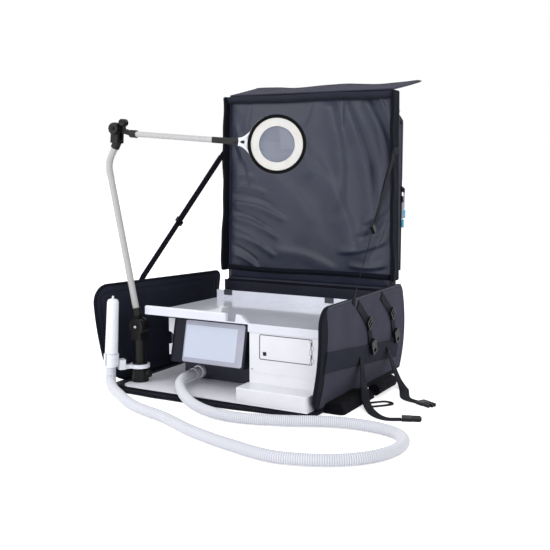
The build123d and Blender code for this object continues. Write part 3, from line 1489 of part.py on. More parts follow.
def socket(end, run, radius, length, bore):
    """Round socket for a tube's end; the tube starts at end and runs along run."""
    with BuildSketch(Plane(origin=end - run * SOCKET_FLOOR, x_dir=(0, 1, 0), z_dir=run)) as outside:
        Circle(radius)
    extrude(outside.sketch, amount=length)
    with BuildSketch(Plane(origin=end - run * SEAT, x_dir=(0, 1, 0), z_dir=run)) as inside:
        Circle(bore)
    extrude(inside.sketch, amount=length, mode=Mode.SUBTRACT)


with BuildPart() as lower_arm_foot:
    with BuildSketch(lamp_side):
        with Locations(knuckle_at):
            Circle(TONGUE_R)
        link_face(knuckle_at, ARM_FOOT, NECK_W)
    extrude(amount=TONGUE_HALF, both=True)
    socket(in_space(ARM_FOOT), foot_run, SOCKET_R, SOCKET_L, ARM_R + PIN_FIT)
    with BuildSketch(lamp_side):
        with Locations(knuckle_at):
            Circle(TILT_PIN_R + PIN_FIT)
    extrude(amount=TONGUE_HALF, both=True, mode=Mode.SUBTRACT)

with BuildPart() as lower_arm_tube:
    with BuildLine():
        tube_line = FilletPolyline(
            in_space(ARM_FOOT),
            in_space(ARM_BEND),
            in_space(ARM_HEAD),
            radius=ARM_BEND_R,
        )
    with BuildSketch(Plane(origin=in_space(ARM_FOOT), x_dir=(0, 1, 0), z_dir=foot_run)):
        Circle(ARM_R)
        Circle(ARM_R - ARM_WALL, mode=Mode.SUBTRACT)
    sweep()
lower_arm_tube.part.label = "lower_arm_tube"
export_step(lower_arm_tube.part, "parts/lower_arm_tube.step")

ELBOW_TONGUE_R = ELBOW_R - TONGUE_STEP

with BuildPart() as elbow_housing:
    with BuildSketch(lamp_side):
        with Locations(elbow_at):
            Circle(ELBOW_R)
        link_face(elbow_at, ARM_HEAD, 2 * ELBOW_SOCKET_R)
    extrude(amount=ELBOW_HALF, both=True)
    socket(in_space(ARM_HEAD), -head_run, ELBOW_SOCKET_R, SOCKET_L, ARM_R + PIN_FIT)
    with BuildSketch(lamp_side):
        with Locations(elbow_at):
            Circle(ELBOW_TONGUE_R + KNUCKLE_GAP)
        with Locations(Location((ELBOW_X, ELBOW_Z), ELBOW_SWEEP_TURN)):
            with Locations((ELBOW_R, 0)):
                Rectangle(2 * ELBOW_R, 3 * ELBOW_R)
    extrude(amount=ELBOW_TONGUE_HALF + KNUCKLE_GAP, both=True, mode=Mode.SUBTRACT)
    with BuildSketch(lamp_side):
        with Locations(elbow_at):
            Circle(TILT_PIN_R + PIN_FIT)
    extrude(amount=ELBOW_HALF, both=True, mode=Mode.SUBTRACT)

with BuildPart() as lower_arm_ends:
    add(lower_arm_foot.part)
    add(elbow_housing.part)
lower_arm_ends.part.label = "lower_arm_ends"
export_step(lower_arm_ends.part, "parts/lower_arm_ends.step")

# Upper arm

UPPER_L = (UPPER_X1 - UPPER_X0) / cos(radians(UPPER_DROP))
upper_start = Vector(UPPER_X0, LAMP_Y, UPPER_Z0)
upper_end = upper_start + upper_run * UPPER_L

with BuildPart() as upper_arm_foot:
    with BuildSketch(lamp_side):
        with Locations(elbow_at):
            Circle(ELBOW_TONGUE_R)
        link_face(elbow_at, (UPPER_X0, UPPER_Z0), ELBOW_NECK_W)
    extrude(amount=ELBOW_TONGUE_HALF, both=True)
    socket(upper_start, upper_run, UPPER_SOCKET_R, UPPER_SOCKET_L, UPPER_R + PIN_FIT)
    with BuildSketch(lamp_side):
        with Locations(elbow_at):
            Circle(TILT_PIN_R + PIN_FIT)
    extrude(amount=ELBOW_TONGUE_HALF, both=True, mode=Mode.SUBTRACT)
upper_arm_foot.part.label = "upper_arm_foot"
export_step(upper_arm_foot.part, "parts/upper_arm_foot.step")

with BuildPart() as upper_arm:
    with BuildSketch(Plane(origin=upper_start, x_dir=(0, 1, 0), z_dir=upper_run)):
        Circle(UPPER_R)
        Circle(UPPER_R - UPPER_WALL, mode=Mode.SUBTRACT)
    extrude(amount=UPPER_L)
    plug_l = LINK_SPIGOT_L + 2 * SEAT
    with BuildSketch(Plane(origin=upper_end, x_dir=(0, 1, 0), z_dir=upper_run)):
        Circle(UPPER_R)
        Circle(LINK_SPIGOT_R + PIN_FIT, mode=Mode.SUBTRACT)
    extrude(amount=-plug_l)
upper_arm.part.label = "upper_arm"
export_step(upper_arm.part, "parts/upper_arm.step")

# Magnifier head on its link

link_start = upper_end + upper_run * SEAT
turn_at = link_start + upper_run * LINK_L
reach = upper_run * cos(radians(HEAD_TURN)) + Vector(0, 1, 0) * sin(radians(HEAD_TURN))
facing = reach.cross(upright)
head_plane = Plane(origin=turn_at + reach * HEAD_REACH, x_dir=reach, z_dir=facing)
EYE_WEB = EYE_R + TONGUE_STEP

with BuildPart() as head_link:
    with BuildSketch(Plane(origin=link_start, x_dir=(0, 1, 0), z_dir=upper_run)):
        RectangleRounded(LINK_T, LINK_H, LINK_T / 5)
    extrude(amount=LINK_L - EYE_WEB - TONGUE_STEP)
    with BuildSketch(Plane(origin=link_start, x_dir=(0, 1, 0), z_dir=upper_run)):
        Circle(LINK_SPIGOT_R)
    extrude(amount=-LINK_SPIGOT_L)
    with BuildSketch(Plane(origin=turn_at, x_dir=upper_run, z_dir=upright)):
        Circle(EYE_R)
        with Locations((-EYE_WEB, 0)):
            Rectangle(2 * EYE_WEB, EYE_R * 1.4)
    extrude(amount=EYE_HALF, both=True)
    with BuildSketch(Plane(origin=turn_at, x_dir=upper_run, z_dir=upright)):
        Circle(HEAD_PIN_R + PIN_FIT)
    extrude(amount=EYE_HALF, both=True, mode=Mode.SUBTRACT)
head_link.part.label = "head_link"
export_step(head_link.part, "parts/head_link.step")

with BuildPart() as head_pin:
    with BuildSketch(Plane(origin=turn_at, x_dir=upper_run, z_dir=upright)):
        Circle(HEAD_PIN_R)
    extrude(amount=EAR_HALF + SEAT, both=True)
    with BuildSketch(Plane(origin=turn_at + upright * (EAR_HALF + SEAT), x_dir=upper_run, z_dir=upright)):
        Circle(HEAD_PIN_R * 2)
    extrude(amount=HEAD_PIN_R / 2)
head_pin.part.label = "head_pin"
export_step(head_pin.part, "parts/head_pin.step")

with BuildPart() as head_shell:
    with BuildSketch(head_plane.offset(-SHELL_BACK)):
        Circle(HEAD_R)
    extrude(amount=SHELL_BACK + SHELL_FRONT)
    back_edge = head_shell.edges().filter_by(GeomType.CIRCLE).sort_by(Axis(head_plane.origin, facing))[0]
    fillet(back_edge, SHELL_BACK * 0.6)
    with BuildSketch(head_plane.offset(-SHELL_BACK * 0.7)):
        polygon(
            (EYE_WEB - HEAD_REACH, -EAR_HALF),
            (EYE_WEB - HEAD_REACH, EAR_HALF),
            (NECK_END - HEAD_R, NECK_FLARE),
            (NECK_END - HEAD_R, -NECK_FLARE),
        )
    extrude(amount=SHELL_BACK * 0.7 + SHELL_FRONT)
    for side in (-1, 1):
        ear_plane = Plane(origin=turn_at + upright * side * EAR_HALF, x_dir=reach, z_dir=upright * side)
        with BuildSketch(ear_plane):
            Circle(EYE_R)
            with Locations((EYE_WEB, 0)):
                Rectangle(2 * EYE_WEB, EYE_R * 1.1)
        extrude(amount=EYE_HALF + SEAT - EAR_HALF)
        with BuildSketch(ear_plane):
            Circle(HEAD_PIN_R + PIN_FIT)
        extrude(amount=EYE_HALF + SEAT - EAR_HALF, mode=Mode.SUBTRACT)
    with BuildSketch(head_plane.offset(-SHELL_BACK)):
        Circle(LENS_R + SEAT)
    extrude(amount=SHELL_BACK + SHELL_FRONT, mode=Mode.SUBTRACT)
head_shell.part.label = "head_shell"
export_step(head_shell.part, "parts/head_shell.step")

with BuildPart() as head_rim:
    with BuildSketch(head_plane.offset(SHELL_FRONT + SEAT)):
        Circle(HEAD_R)
        Circle(HEAD_R - RIM_W, mode=Mode.SUBTRACT)
    extrude(amount=RIM_T)
    rim_edge = head_rim.edges().filter_by(GeomType.CIRCLE).sort_by(Axis(head_plane.origin, facing))[-2:]
    fillet(rim_edge, RIM_T * 0.4)
head_rim.part.label = "head_rim"
export_step(head_rim.part, "parts/head_rim.step")

with BuildPart() as light_ring:
    with BuildSketch(head_plane.offset(SHELL_FRONT + SEAT)):
        Circle(HEAD_R - RIM_W - SEAT)
        Circle(LENS_R + SEAT, mode=Mode.SUBTRACT)
    extrude(amount=LIGHT_RING_T)
light_ring.part.label = "light_ring"
export_step(light_ring.part, "parts/light_ring.step")

with BuildPart() as lens:
    with BuildSketch(Plane(origin=head_plane.origin, x_dir=reach, z_dir=-upright)):
        with BuildLine():
            crown = LENS_EDGE_T / 2 + LENS_CROWN
            front_arc = ThreePointArc((-LENS_R, LENS_EDGE_T / 2), (0, crown), (LENS_R, LENS_EDGE_T / 2))
            back_arc = ThreePointArc((-LENS_R, -LENS_EDGE_T / 2), (0, -crown), (LENS_R, -LENS_EDGE_T / 2))
            Line(front_arc @ 0, back_arc @ 0)
            Line(front_arc @ 1, back_arc @ 1)
        make_face()
        with Locations((-LENS_R, 0)):
            Rectangle(2 * LENS_R, 2 * LENS_R, mode=Mode.SUBTRACT)
    revolve(axis=Axis(head_plane.origin, facing))
lens.part.label = "lens"
export_step(lens.part, "parts/lens.step")
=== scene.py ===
# Looks of the backpack podiatry unit, set on the CAD frame

import math

import bmesh
import bpy
import numpy as np
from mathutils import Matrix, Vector

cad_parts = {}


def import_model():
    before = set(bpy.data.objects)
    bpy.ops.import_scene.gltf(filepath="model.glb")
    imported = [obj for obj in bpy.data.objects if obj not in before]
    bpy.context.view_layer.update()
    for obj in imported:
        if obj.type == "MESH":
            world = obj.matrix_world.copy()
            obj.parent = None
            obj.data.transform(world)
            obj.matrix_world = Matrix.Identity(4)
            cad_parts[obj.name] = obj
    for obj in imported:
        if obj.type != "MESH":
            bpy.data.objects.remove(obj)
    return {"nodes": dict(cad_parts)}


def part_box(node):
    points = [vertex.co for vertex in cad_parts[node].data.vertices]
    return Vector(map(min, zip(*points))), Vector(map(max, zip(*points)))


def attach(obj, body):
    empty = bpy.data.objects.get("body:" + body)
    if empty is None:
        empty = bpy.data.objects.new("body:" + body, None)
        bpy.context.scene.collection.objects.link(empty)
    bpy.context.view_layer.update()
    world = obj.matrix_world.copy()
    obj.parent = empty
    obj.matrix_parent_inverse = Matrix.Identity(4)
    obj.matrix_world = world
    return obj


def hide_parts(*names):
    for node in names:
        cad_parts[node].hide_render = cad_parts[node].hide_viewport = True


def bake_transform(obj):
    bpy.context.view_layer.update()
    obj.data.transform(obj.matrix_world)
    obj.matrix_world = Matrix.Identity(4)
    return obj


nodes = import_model()["nodes"]
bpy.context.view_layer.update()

# Sizes of the pieces are in millimetres, in the part's own frame, and MM turns them into metres
MM = 0.001

# Camera, world, lamps and floor, in metres

CAMERA_AT = (1.1844, -2.0551, 0.5842)
CAMERA_TILT = 82.875
CAMERA_TURN = 29.0
WORLD_STRENGTH = 0.78
FLOOR_GLOW = 0.6
FLOOR_HALF = 30
LAMPS = (
    ("key", (-1.5, -2.3, 1.9), (0, 0, 0.4), 1.9, 31),
    ("fill", (2.7, -1.7, 1.2), (0, 0, 0.15), 2.2, 20),
    ("top", (0.2, 0.3, 3.2), (0, 0, 0.2), 2.2, 13),
    ("low_front", (-0.7, -3.0, 0.3), (-0.05, -0.1, 0.1), 1.6, 19),
)

camera = bpy.data.objects.new("camera", bpy.data.cameras.new("camera"))
bpy.context.scene.collection.objects.link(camera)
camera.data.sensor_width = 36
camera.data.lens = 57.6
camera.data.clip_end = 60
camera.location = CAMERA_AT
camera.rotation_euler = (math.radians(CAMERA_TILT), 0, math.radians(CAMERA_TURN))
bpy.context.scene.camera = camera
bpy.context.scene.view_settings.view_transform = "Standard"


def new_node(tree, kind, **values):
    """Shader node, with values for the sockets or settings of those names."""
    made = tree.nodes.new(kind)
    for key, value in values.items():
        if key in made.inputs:
            made.inputs[key].default_value = value
        else:
            setattr(made, key, value)
    return made


def backdrop_share(tree):
    """One where a camera, mirror or glass ray looks, for the white background."""
    path = new_node(tree, "ShaderNodeLightPath")
    share = path.outputs["Is Camera Ray"]
    for name in ("Is Glossy Ray", "Is Transmission Ray"):
        both = new_node(tree, "ShaderNodeMath", operation="MAXIMUM")
        tree.links.new(share, both.inputs[0])
        tree.links.new(path.outputs[name], both.inputs[1])
        share = both.outputs[0]
    return share


world = bpy.data.worlds.new("studio")
bpy.context.scene.world = world
world.use_nodes = True
tree = world.node_tree
tree.nodes.clear()
lit = new_node(tree, "ShaderNodeBackground", Color=(0.97, 0.97, 1.0, 1), Strength=WORLD_STRENGTH)
seen = new_node(tree, "ShaderNodeBackground", Color=(1, 1, 1, 1))
mix = new_node(tree, "ShaderNodeMixShader")
out = new_node(tree, "ShaderNodeOutputWorld")
for index, start in enumerate((backdrop_share(tree), lit.outputs[0], seen.outputs[0])):
    tree.links.new(start, mix.inputs[index])
tree.links.new(mix.outputs[0], out.inputs[0])

for name, place, aim, size, power in LAMPS:
    data = bpy.data.lights.new(name, "AREA")
    data.size = size
    data.energy = power
    light = bpy.data.objects.new(name, data)
    light.location = place
    light.rotation_euler = (Vector(aim) - Vector(place)).to_track_quat("-Z", "Y").to_euler()
    bpy.context.scene.collection.objects.link(light)

floor_mesh = bpy.data.meshes.new("floor")
floor_corners = [(FLOOR_HALF * a, FLOOR_HALF * b, 0) for a, b in ((-1, -1), (1, -1), (1, 1), (-1, 1))]
floor_mesh.from_pydata(floor_corners, [], [(0, 1, 2, 3)])
floor = bpy.data.objects.new("floor", floor_mesh)
floor.location.z = -0.0005
bpy.context.scene.collection.objects.link(floor)
floor_paint = bpy.data.materials.new("floor_paint")
floor_paint.use_nodes = True
tree = floor_paint.node_tree
tree.nodes.clear()
diffuse = new_node(tree, "ShaderNodeBsdfDiffuse", Color=(0.9, 0.9, 0.9, 1))
glow = new_node(tree, "ShaderNodeEmission")
lift = new_node(tree, "ShaderNodeMath", operation="MULTIPLY")
lift.inputs[1].default_value = FLOOR_GLOW
both = new_node(tree, "ShaderNodeAddShader")
out = new_node(tree, "ShaderNodeOutputMaterial")
tree.links.new(backdrop_share(tree), lift.inputs[0])
tree.links.new(lift.outputs[0], glow.inputs["Strength"])
tree.links.new(diffuse.outputs[0], both.inputs[0])
tree.links.new(glow.outputs[0], both.inputs[1])
tree.links.new(both.outputs[0], out.inputs[0])
floor_mesh.materials.append(floor_paint)

# Materials


RIB_PITCH = 4.6
WEB_RIB = 1.6


class Recipe:
    """A procedural material: noise and weave nodes that drive colour, roughness and bump."""

    def __init__(self, name, colour, rough, metal=0.0, by_uv=False, **plain):
        self.mat = bpy.data.materials.new(name)
        self.mat.use_nodes = True
        self.mat.diffuse_color = (*colour, 1)
        self.tree = self.mat.node_tree
        self.shader = self.tree.nodes["Principled BSDF"]
        self.shader.inputs["Base Color"].default_value = (*colour, 1)
        self.shader.inputs["Roughness"].default_value = rough
        self.shader.inputs["Metallic"].default_value = metal
        for socket, value in plain.items():
            self.shader.inputs[socket.replace("_", " ")].default_value = value
        self.place = self.node("ShaderNodeTexCoord").outputs["UV" if by_uv else "Object"]
        self.colour = None
        self.height = None

    def node(self, kind, **values):
        return new_node(self.tree, kind, **values)

    def join(self, start, end):
        self.tree.links.new(start, end)

    def noise(self, size_mm, detail=2.0, stretch=None):
        """Noise with features about size_mm across."""
        place = self.place
        if stretch:
            mapping = self.node("ShaderNodeMapping", Scale=stretch)
            self.join(place, mapping.inputs["Vector"])
            place = mapping.outputs[0]
        made = self.node("ShaderNodeTexNoise", Scale=1 / (size_mm * MM), Detail=detail)
        self.join(place, made.inputs["Vector"])
        return made.outputs["Fac"]

    def bands(self, pitch_mm, axis):
        """Ridges across one axis at the given pitch."""
        made = self.node("ShaderNodeTexWave", bands_direction=axis, Scale=0.3142 / (pitch_mm * MM))
        self.join(self.place, made.inputs["Vector"])
        return made.outputs["Fac"]

    def math(self, operation, a, b):
        made = self.node("ShaderNodeMath", operation=operation)
        for index, value in enumerate((a, b)):
            if isinstance(value, (int, float)):
                made.inputs[index].default_value = value
            else:
                self.join(value, made.inputs[index])
        return made.outputs[0]

    def wear(self, colour):
        """Makes a colour socket the surface's colour."""
        self.colour = colour
        self.join(colour, self.shader.inputs["Base Color"])

    def tint(self, fac, low, high, start=0.3, end=0.7):
        """Multiplies the colour by one from low to high, as fac goes from start to end."""
        ramp = self.node("ShaderNodeValToRGB")
        for stop, position, colour in zip(ramp.color_ramp.elements, (start, end), (low, high)):
            stop.position = position
            stop.color = (*colour, 1)
        self.join(fac, ramp.inputs[0])
        if self.colour is None:
            self.wear(ramp.outputs[0])
            return
        mix = self.node("ShaderNodeMix", data_type="RGBA", blend_type="MULTIPLY")
        mix.inputs[0].default_value = 1.0
        self.join(self.colour, mix.inputs[6])
        self.join(ramp.outputs[0], mix.inputs[7])
        self.wear(mix.outputs[2])

    def between(self, axis, low_mm, high_mm):
        """One where the place along an axis is between two values."""
        split = self.node("ShaderNodeSeparateXYZ")
        self.join(self.place, split.inputs[0])
        above = self.math("GREATER_THAN", split.outputs[axis], low_mm * MM)
        below = self.math("LESS_THAN", split.outputs[axis], high_mm * MM)
        return self.math("MULTIPLY", above, below)

    def patch(self, mask, colour):
        """Paints another colour where the mask is one."""
        mix = self.node("ShaderNodeMix", data_type="RGBA")
        self.join(mask, mix.inputs[0])
        self.join(self.colour, mix.inputs[6])
        mix.inputs[7].default_value = (*colour, 1)
        self.wear(mix.outputs[2])

    def gloss(self, fac, low, high):
        """Roughness from low to high as fac goes from zero to one."""
        span = self.node("ShaderNodeMapRange")
        span.inputs["To Min"].default_value = low
        span.inputs["To Max"].default_value = high
        self.join(fac, span.inputs[0])
        self.join(span.outputs[0], self.shader.inputs["Roughness"])

    def bump(self, fac, depth_mm, strength=1.0):
        """Adds relief of the given depth."""
        made = self.node("ShaderNodeBump", Strength=strength, Distance=depth_mm * MM)
        self.join(fac, made.inputs["Height"])
        if self.height is not None:
            self.join(self.height, made.inputs["Normal"])
        self.height = made.outputs[0]
        self.join(self.height, self.shader.inputs["Normal"])


def shade(colour, factor):
    """The colour made lighter or darker."""
    return tuple(min(1.0, channel * factor) for channel in colour)


def woven(name, colour, pitch, rough, melange, sheen, depth, specular):
    """Plain-weave cloth laid out by its own UV, with heathered threads."""
    soft = {"Sheen_Weight": sheen, "Sheen_Roughness": 0.45, "Specular_IOR_Level": specular}
    made = Recipe(name, colour, rough, by_uv=True, **soft)
    warp = made.bands(pitch, "X")
    weft = made.bands(pitch, "Y")
    threads = made.math("MULTIPLY", warp, weft)
    made.tint(made.noise(pitch * 1.6, 3.0), shade(colour, 1 - melange), shade(colour, 1 + melange * 1.6))
    made.tint(made.noise(60, 2.0), (0.82, 0.82, 0.84), (1, 1, 1))
    made.bump(made.noise(18, 2.0), 0.5, 0.35)
    made.bump(threads, depth)
    made.gloss(made.noise(30, 2.0), rough - 0.06, min(1.0, rough + 0.08))
    return made.mat


def webbing_cloth(name, colour):
    """Ribbed webbing: cross ribs along U with fine threads, and the grooves between the ribs darkened as
    painted shade.
    """
    made = Recipe(name, colour, 0.72, by_uv=True, Sheen_Weight=0.02, Specular_IOR_Level=0.1)
    ribs = made.bands(WEB_RIB, "X")
    threads = made.bands(WEB_RIB * 0.6, "Y")
    made.tint(made.noise(4, 3.0), shade(colour, 0.75), shade(colour, 1.5))
    # Painted shade: colour darkened in the low grooves between the ribs, where the bump is lowest
    made.tint(ribs, (0.72, 0.72, 0.72), (1, 1, 1), 0.1, 0.6)
    made.bump(made.math("ADD", ribs, made.math("MULTIPLY", threads, 0.4)), 0.35)
    return made.mat


def moulded(name, colour, rough, grain=0.8, depth=0.03, mottle=0.05, specular=0.5, coat=0.0):
    """Moulded or coated surface with fine grain, faint clouding and a little handling wear."""
    made = Recipe(name, colour, rough, Specular_IOR_Level=specular, Coat_Weight=coat)
    made.tint(made.noise(45, 4.0), shade(colour, 1 - mottle), shade(colour, 1 + mottle * 0.4))
    made.gloss(made.noise(25, 5.0), max(0.02, rough - 0.05), rough + 0.09)
    made.bump(made.noise(grain, 2.0), depth)
    return made.mat


def turned(name, colour, rough):
    """Metal with fine drawn lines."""
    made = Recipe(name, colour, rough, metal=1.0)
    lines = made.noise(1.2, 3.0, (1, 1, 12))
    made.tint(lines, shade(colour, 0.88), shade(colour, 1.06))
    made.gloss(lines, rough - 0.06, rough + 0.1)
    made.bump(lines, 0.02)
    return made.mat


# Each cloth: name, colour, weave pitch, roughness, melange, sheen, depth of the weave, specular level
CLOTHS = {
    "outer": ("outer_cloth", (0.055, 0.0565, 0.079), 0.9, 0.85, 0.55, 0.02, 0.25, 0.08),
    "band": ("band_cloth", (0.022, 0.024, 0.037), 0.8, 0.85, 0.4, 0.02, 0.25, 0.08),
    "lining": ("lining_cloth", (0.026, 0.0305, 0.053), 0.5, 0.37, 0.12, 0.0, 0.05, 0.36),
    # Inside of the case: the lining fabric painted darker as shade inside the case
    "case": ("lining_painted_shade", (0.015, 0.017, 0.031), 0.5, 0.55, 0.12, 0.0, 0.06, 0.2),
    # Flap underside: the lining painted lighter, as painted bounce light from the floor
    "flap_lining_painted_bounce": ("flap_lining_painted_bounce", (0.16, 0.163, 0.19), 0.6, 0.6, 0.15, 0.05, 0.08, 0.3),
    "binding": ("binding_tape", (0.006, 0.007, 0.013), 1.1, 0.75, 0.3, 0.02, 0.25, 0.08),
    "piping": ("grey_piping", (0.06, 0.064, 0.08), 0.7, 0.6, 0.3, 0.03, 0.25, 0.15),
    "mesh": ("padding_mesh", (0.005, 0.005, 0.008), 2.6, 0.85, 0.4, 0.01, 0.9, 0.08),
    "fleece": ("filter_fleece", (0.7, 0.68, 0.62), 1.4, 0.95, 0.35, 0.25, 0.25, 0.3),
}
# Each moulded surface: name, colour, roughness, grain, depth of the grain, mottle, specular level, coat
COATS = {
    "buckle": ("buckle_acetal", (0.005, 0.005, 0.008), 0.4, 0.8, 0.04, 0.05, 0.2),
    "zip": ("zip_coil", (0.006, 0.006, 0.009), 0.42, 0.8, 0.02, 0.05, 0.3),
    "blue": ("blue_tip", (0.12, 0.55, 0.8), 0.3, 0.8, 0.01),
    "white": ("white_coat", (0.76, 0.765, 0.8), 0.34, 0.6, 0.02, 0.03),
    # Base plate: the machine's white painted lighter than the white coat, as painted light lifting the shade
    # under the tray
    "plate": ("plate_white_painted_light", (0.93, 0.93, 1.0), 0.3, 0.6, 0.02, 0.03),
    "tray": ("tray_gloss", (0.67, 0.685, 0.76), 0.12, 3.0, 0.01, 0.03, 0.5, 0.5),
    "black": ("black_gloss", (0.005, 0.006, 0.014), 0.3, 0.7, 0.03, 0.05, 0.15),
    "housing": ("black_texture", (0.036, 0.039, 0.056), 0.45, 0.7, 0.05, 0.2, 0.25),
    "abs": ("white_abs", (0.83, 0.845, 0.9), 0.28, 0.8, 0.015, 0.02),
    "lamp": ("lamp_satin", (0.007, 0.007, 0.0075), 0.36, 0.8, 0.02, 0.25, 0.22),
    "rim": ("rim_black", (0.004, 0.004, 0.0045), 0.6, 0.8, 0.03, 0.05, 0.06),
    "arm": ("arm_satin", (0.43, 0.43, 0.43), 0.4, 9, 0.001, 0.02),
    "sleeve": ("sleeve_white", (0.47, 0.47, 0.475), 0.4, 9, 0.001, 0.02),
    "clip": ("clip_grey", (0.02, 0.022, 0.034), 0.4),
    "board": ("board_mask", (0.015, 0.13, 0.07), 0.35, 2.0),
    "gasket": ("gasket_rubber", (0.07, 0.072, 0.085), 0.6, 1.2),
}
mats = {key: woven(*row) for key, row in CLOTHS.items()}
mats.update({key: moulded(*row) for key, row in COATS.items()})
mats["webbing"] = webbing_cloth("webbing_cloth", (0.007, 0.008, 0.014))
mats["steel"] = turned("pin_steel", (0.6, 0.6, 0.61), 0.25)
mats["motor"] = turned("motor_paint", (0.5, 0.5, 0.52), 0.4)

hose_colour = (0.68, 0.69, 0.73)
vinyl = Recipe("hose_vinyl", hose_colour, 0.36, by_uv=True, Subsurface_Weight=0.08, Subsurface_Scale=0.004)
vinyl.tint(vinyl.noise(45, 4.0), shade(hose_colour, 0.97), hose_colour)
# Painted shade: the grooves between the hose's ribs are tinted darker and bluer in colour, on top of the
# tube's real ribs
vinyl.tint(vinyl.bands(RIB_PITCH, "X"), (1, 1, 1), (0.7, 0.72, 0.79), 0.35, 1.0)
vinyl.gloss(vinyl.noise(25, 5.0), 0.3, 0.44)
vinyl.bump(vinyl.noise(0.8, 2.0), 0.02)
mats["hose"] = vinyl.mat


def pull_paint(name, cord_top):
    """Black zip slider whose pull cord, below the given height, is light grey."""
    made = Recipe(name, (0.006, 0.006, 0.009), 0.42, Specular_IOR_Level=0.3)
    made.tint(made.noise(3, 3.0), (0.005, 0.005, 0.008), (0.009, 0.009, 0.012))
    made.patch(made.between(2, 0, cord_top), (0.5, 0.52, 0.56))
    made.bump(made.noise(0.8, 2.0), 0.03)
    return made.mat


for name, cord_top in (("pull_upper", 505), ("pull_lower", 478)):
    mats[name] = pull_paint(name, cord_top)

glass = Recipe("lens_glass", (0.62, 0.66, 0.77), 0.02, Transmission_Weight=0.82, IOR=1.46)
glass.gloss(glass.noise(40, 4.0), 0.0, 0.05)
mats["lens"] = glass.mat

diffuser = Recipe("light_diffuser", (0.7, 0.69, 0.66), 0.5, Subsurface_Weight=0.2, Subsurface_Scale=0.004)
diffuser.tint(diffuser.noise(22, 3.0), (0.67, 0.66, 0.63), (0.73, 0.72, 0.69))
diffuser.bump(diffuser.noise(0.8, 2.0), 0.05)
mats["diffuser"] = diffuser.mat

# The lit display shows through the screen's glass as a paler patch, from side to side and foot to top
PATCH_X, PATCH_Z = (-103, 51), (93, 175)
bezel = Recipe("screen_bezel", (0.35, 0.36, 0.44), 0.08, Coat_Weight=0.6)
bezel.tint(bezel.noise(70, 2.0), (0.33, 0.34, 0.42), (0.37, 0.38, 0.46))
shown = bezel.math("MULTIPLY", bezel.between(0, *PATCH_X), bezel.between(2, *PATCH_Z))
bezel.patch(shown, (0.52, 0.57, 0.68))
bezel.gloss(bezel.noise(15, 5.0), 0.05, 0.14)
mats["bezel"] = bezel.mat

picture = Recipe("display_picture", (0.6, 0.66, 0.78), 0.2, Coat_Weight=0.5)
picture.tint(picture.noise(120, 1.0), (0.56, 0.61, 0.73), (0.66, 0.71, 0.82))
picture.bump(picture.noise(1.0, 1.0), 0.005)
mats["picture"] = picture.mat

# Paint of each CAD node; the soft ones are replaced further down
NODE_PAINTS = {
    "plate": "base_plate",
    "white": "front_plinth cabinet_shell door_panel door_hinges screen_bracket",
    "housing": "main_housing",
    "motor": "suction_motor power_supply",
    "board": "control_board",
    "black": "screen_housing",
    "bezel": "screen_glass",
    "picture": "display_panel",
    "tray": "worktop_tray",
    "clip": "rail_clips",
    "abs": "hose_port hose_cuffs handpiece_holder handpiece_body upper_arm head_shell",
    "steel": "handpiece_collet head_pin",
    "lamp": "latch_button lamp_base clamp_knob lamp_post tilt_pin elbow_pin lower_arm_ends"
            " upper_arm_foot head_link",
    "arm": "lower_arm_tube",
    "rim": "head_rim",
    "diffuser": "light_ring",
    "lens": "lens",
    "buckle": "strap_buckles stay_sliders",
    "pull_upper": "zip_slider_upper",
    "pull_lower": "zip_slider_lower",
    "blue": "pull_tip_upper pull_tip_lower",
    "lining": "back_panel lid_lining",
    "outer": "side_wall_left side_wall_right rear_wall lid_panel front_flap outer_pocket",
    "binding": "front_lip lid_gussets",
    "webbing": "stay_left stay_right compression_straps side_band strap_tails",
    "mesh": "hip_belt",
    "fleece": "filter_bag",
    "hose": "hose",
}
for paint, names in NODE_PAINTS.items():
    for name in names.split():
        nodes[name].data.materials.clear()
        nodes[name].data.materials.append(mats[paint])

# Mesh helpers


def lengths(line):
    """Distance along a line, at each of its points."""
    return np.concatenate([[0], np.cumsum(np.linalg.norm(np.diff(line, axis=0), axis=1))])


def places_at(line, run, at):
    """Places on a line at the given distances, where run holds its points' distances."""
    return np.column_stack([np.interp(at, run, line[:, k]) for k in range(3)])


def unit(ways):
    """Directions brought to a length of one."""
    return ways / np.linalg.norm(ways, axis=-1, keepdims=True)



def add_mesh(name, points, faces, paints, uv=None, face_paint=None):
    """Makes a smooth mesh object from points in millimetres; uv gives each point's UV in millimetres."""
    mesh = bpy.data.meshes.new(name)
    mesh.from_pydata([tuple(p) for p in np.asarray(points) * MM], [], faces)
    for paint in paints if isinstance(paints, (list, tuple)) else [paints]:
        mesh.materials.append(mats[paint])
    if face_paint is not None:
        mesh.polygons.foreach_set("material_index", np.asarray(face_paint, np.int32))
    if uv is not None:
        layer = mesh.uv_layers.new(name="cut")
        corners = np.zeros(len(mesh.loops), np.int32)
        mesh.loops.foreach_get("vertex_index", corners)
        layer.data.foreach_set("uv", (np.asarray(uv) * MM)[corners].astype(np.float32).ravel())
    mesh.polygons.foreach_set("use_smooth", [True] * len(mesh.polygons))
    mesh.update()
    made = bpy.data.objects.new(name, mesh)
    bpy.context.scene.collection.objects.link(made)
    return made


def grid_faces(rows, columns, start=0, flip=False, loop=False):
    """Quads of a grid of points; loop joins the last column to the first."""
    faces = []
    for row in range(rows - 1):
        for column in range(columns if loop else columns - 1):
            a = start + row * columns + column
            b = start + row * columns + (column + 1) % columns
            quad = (a, b, b + columns, a + columns)
            faces.append(quad[::-1] if flip else quad)
    return faces


def ring_faces(rows, sides, flip=False):
    """Faces of a row of rings, with both ends capped."""
    last = (rows - 1) * sides
    faces = grid_faces(rows, sides, loop=True, flip=flip)
    return faces + [tuple(range(sides)), tuple(range(last, last + sides))[::-1]]


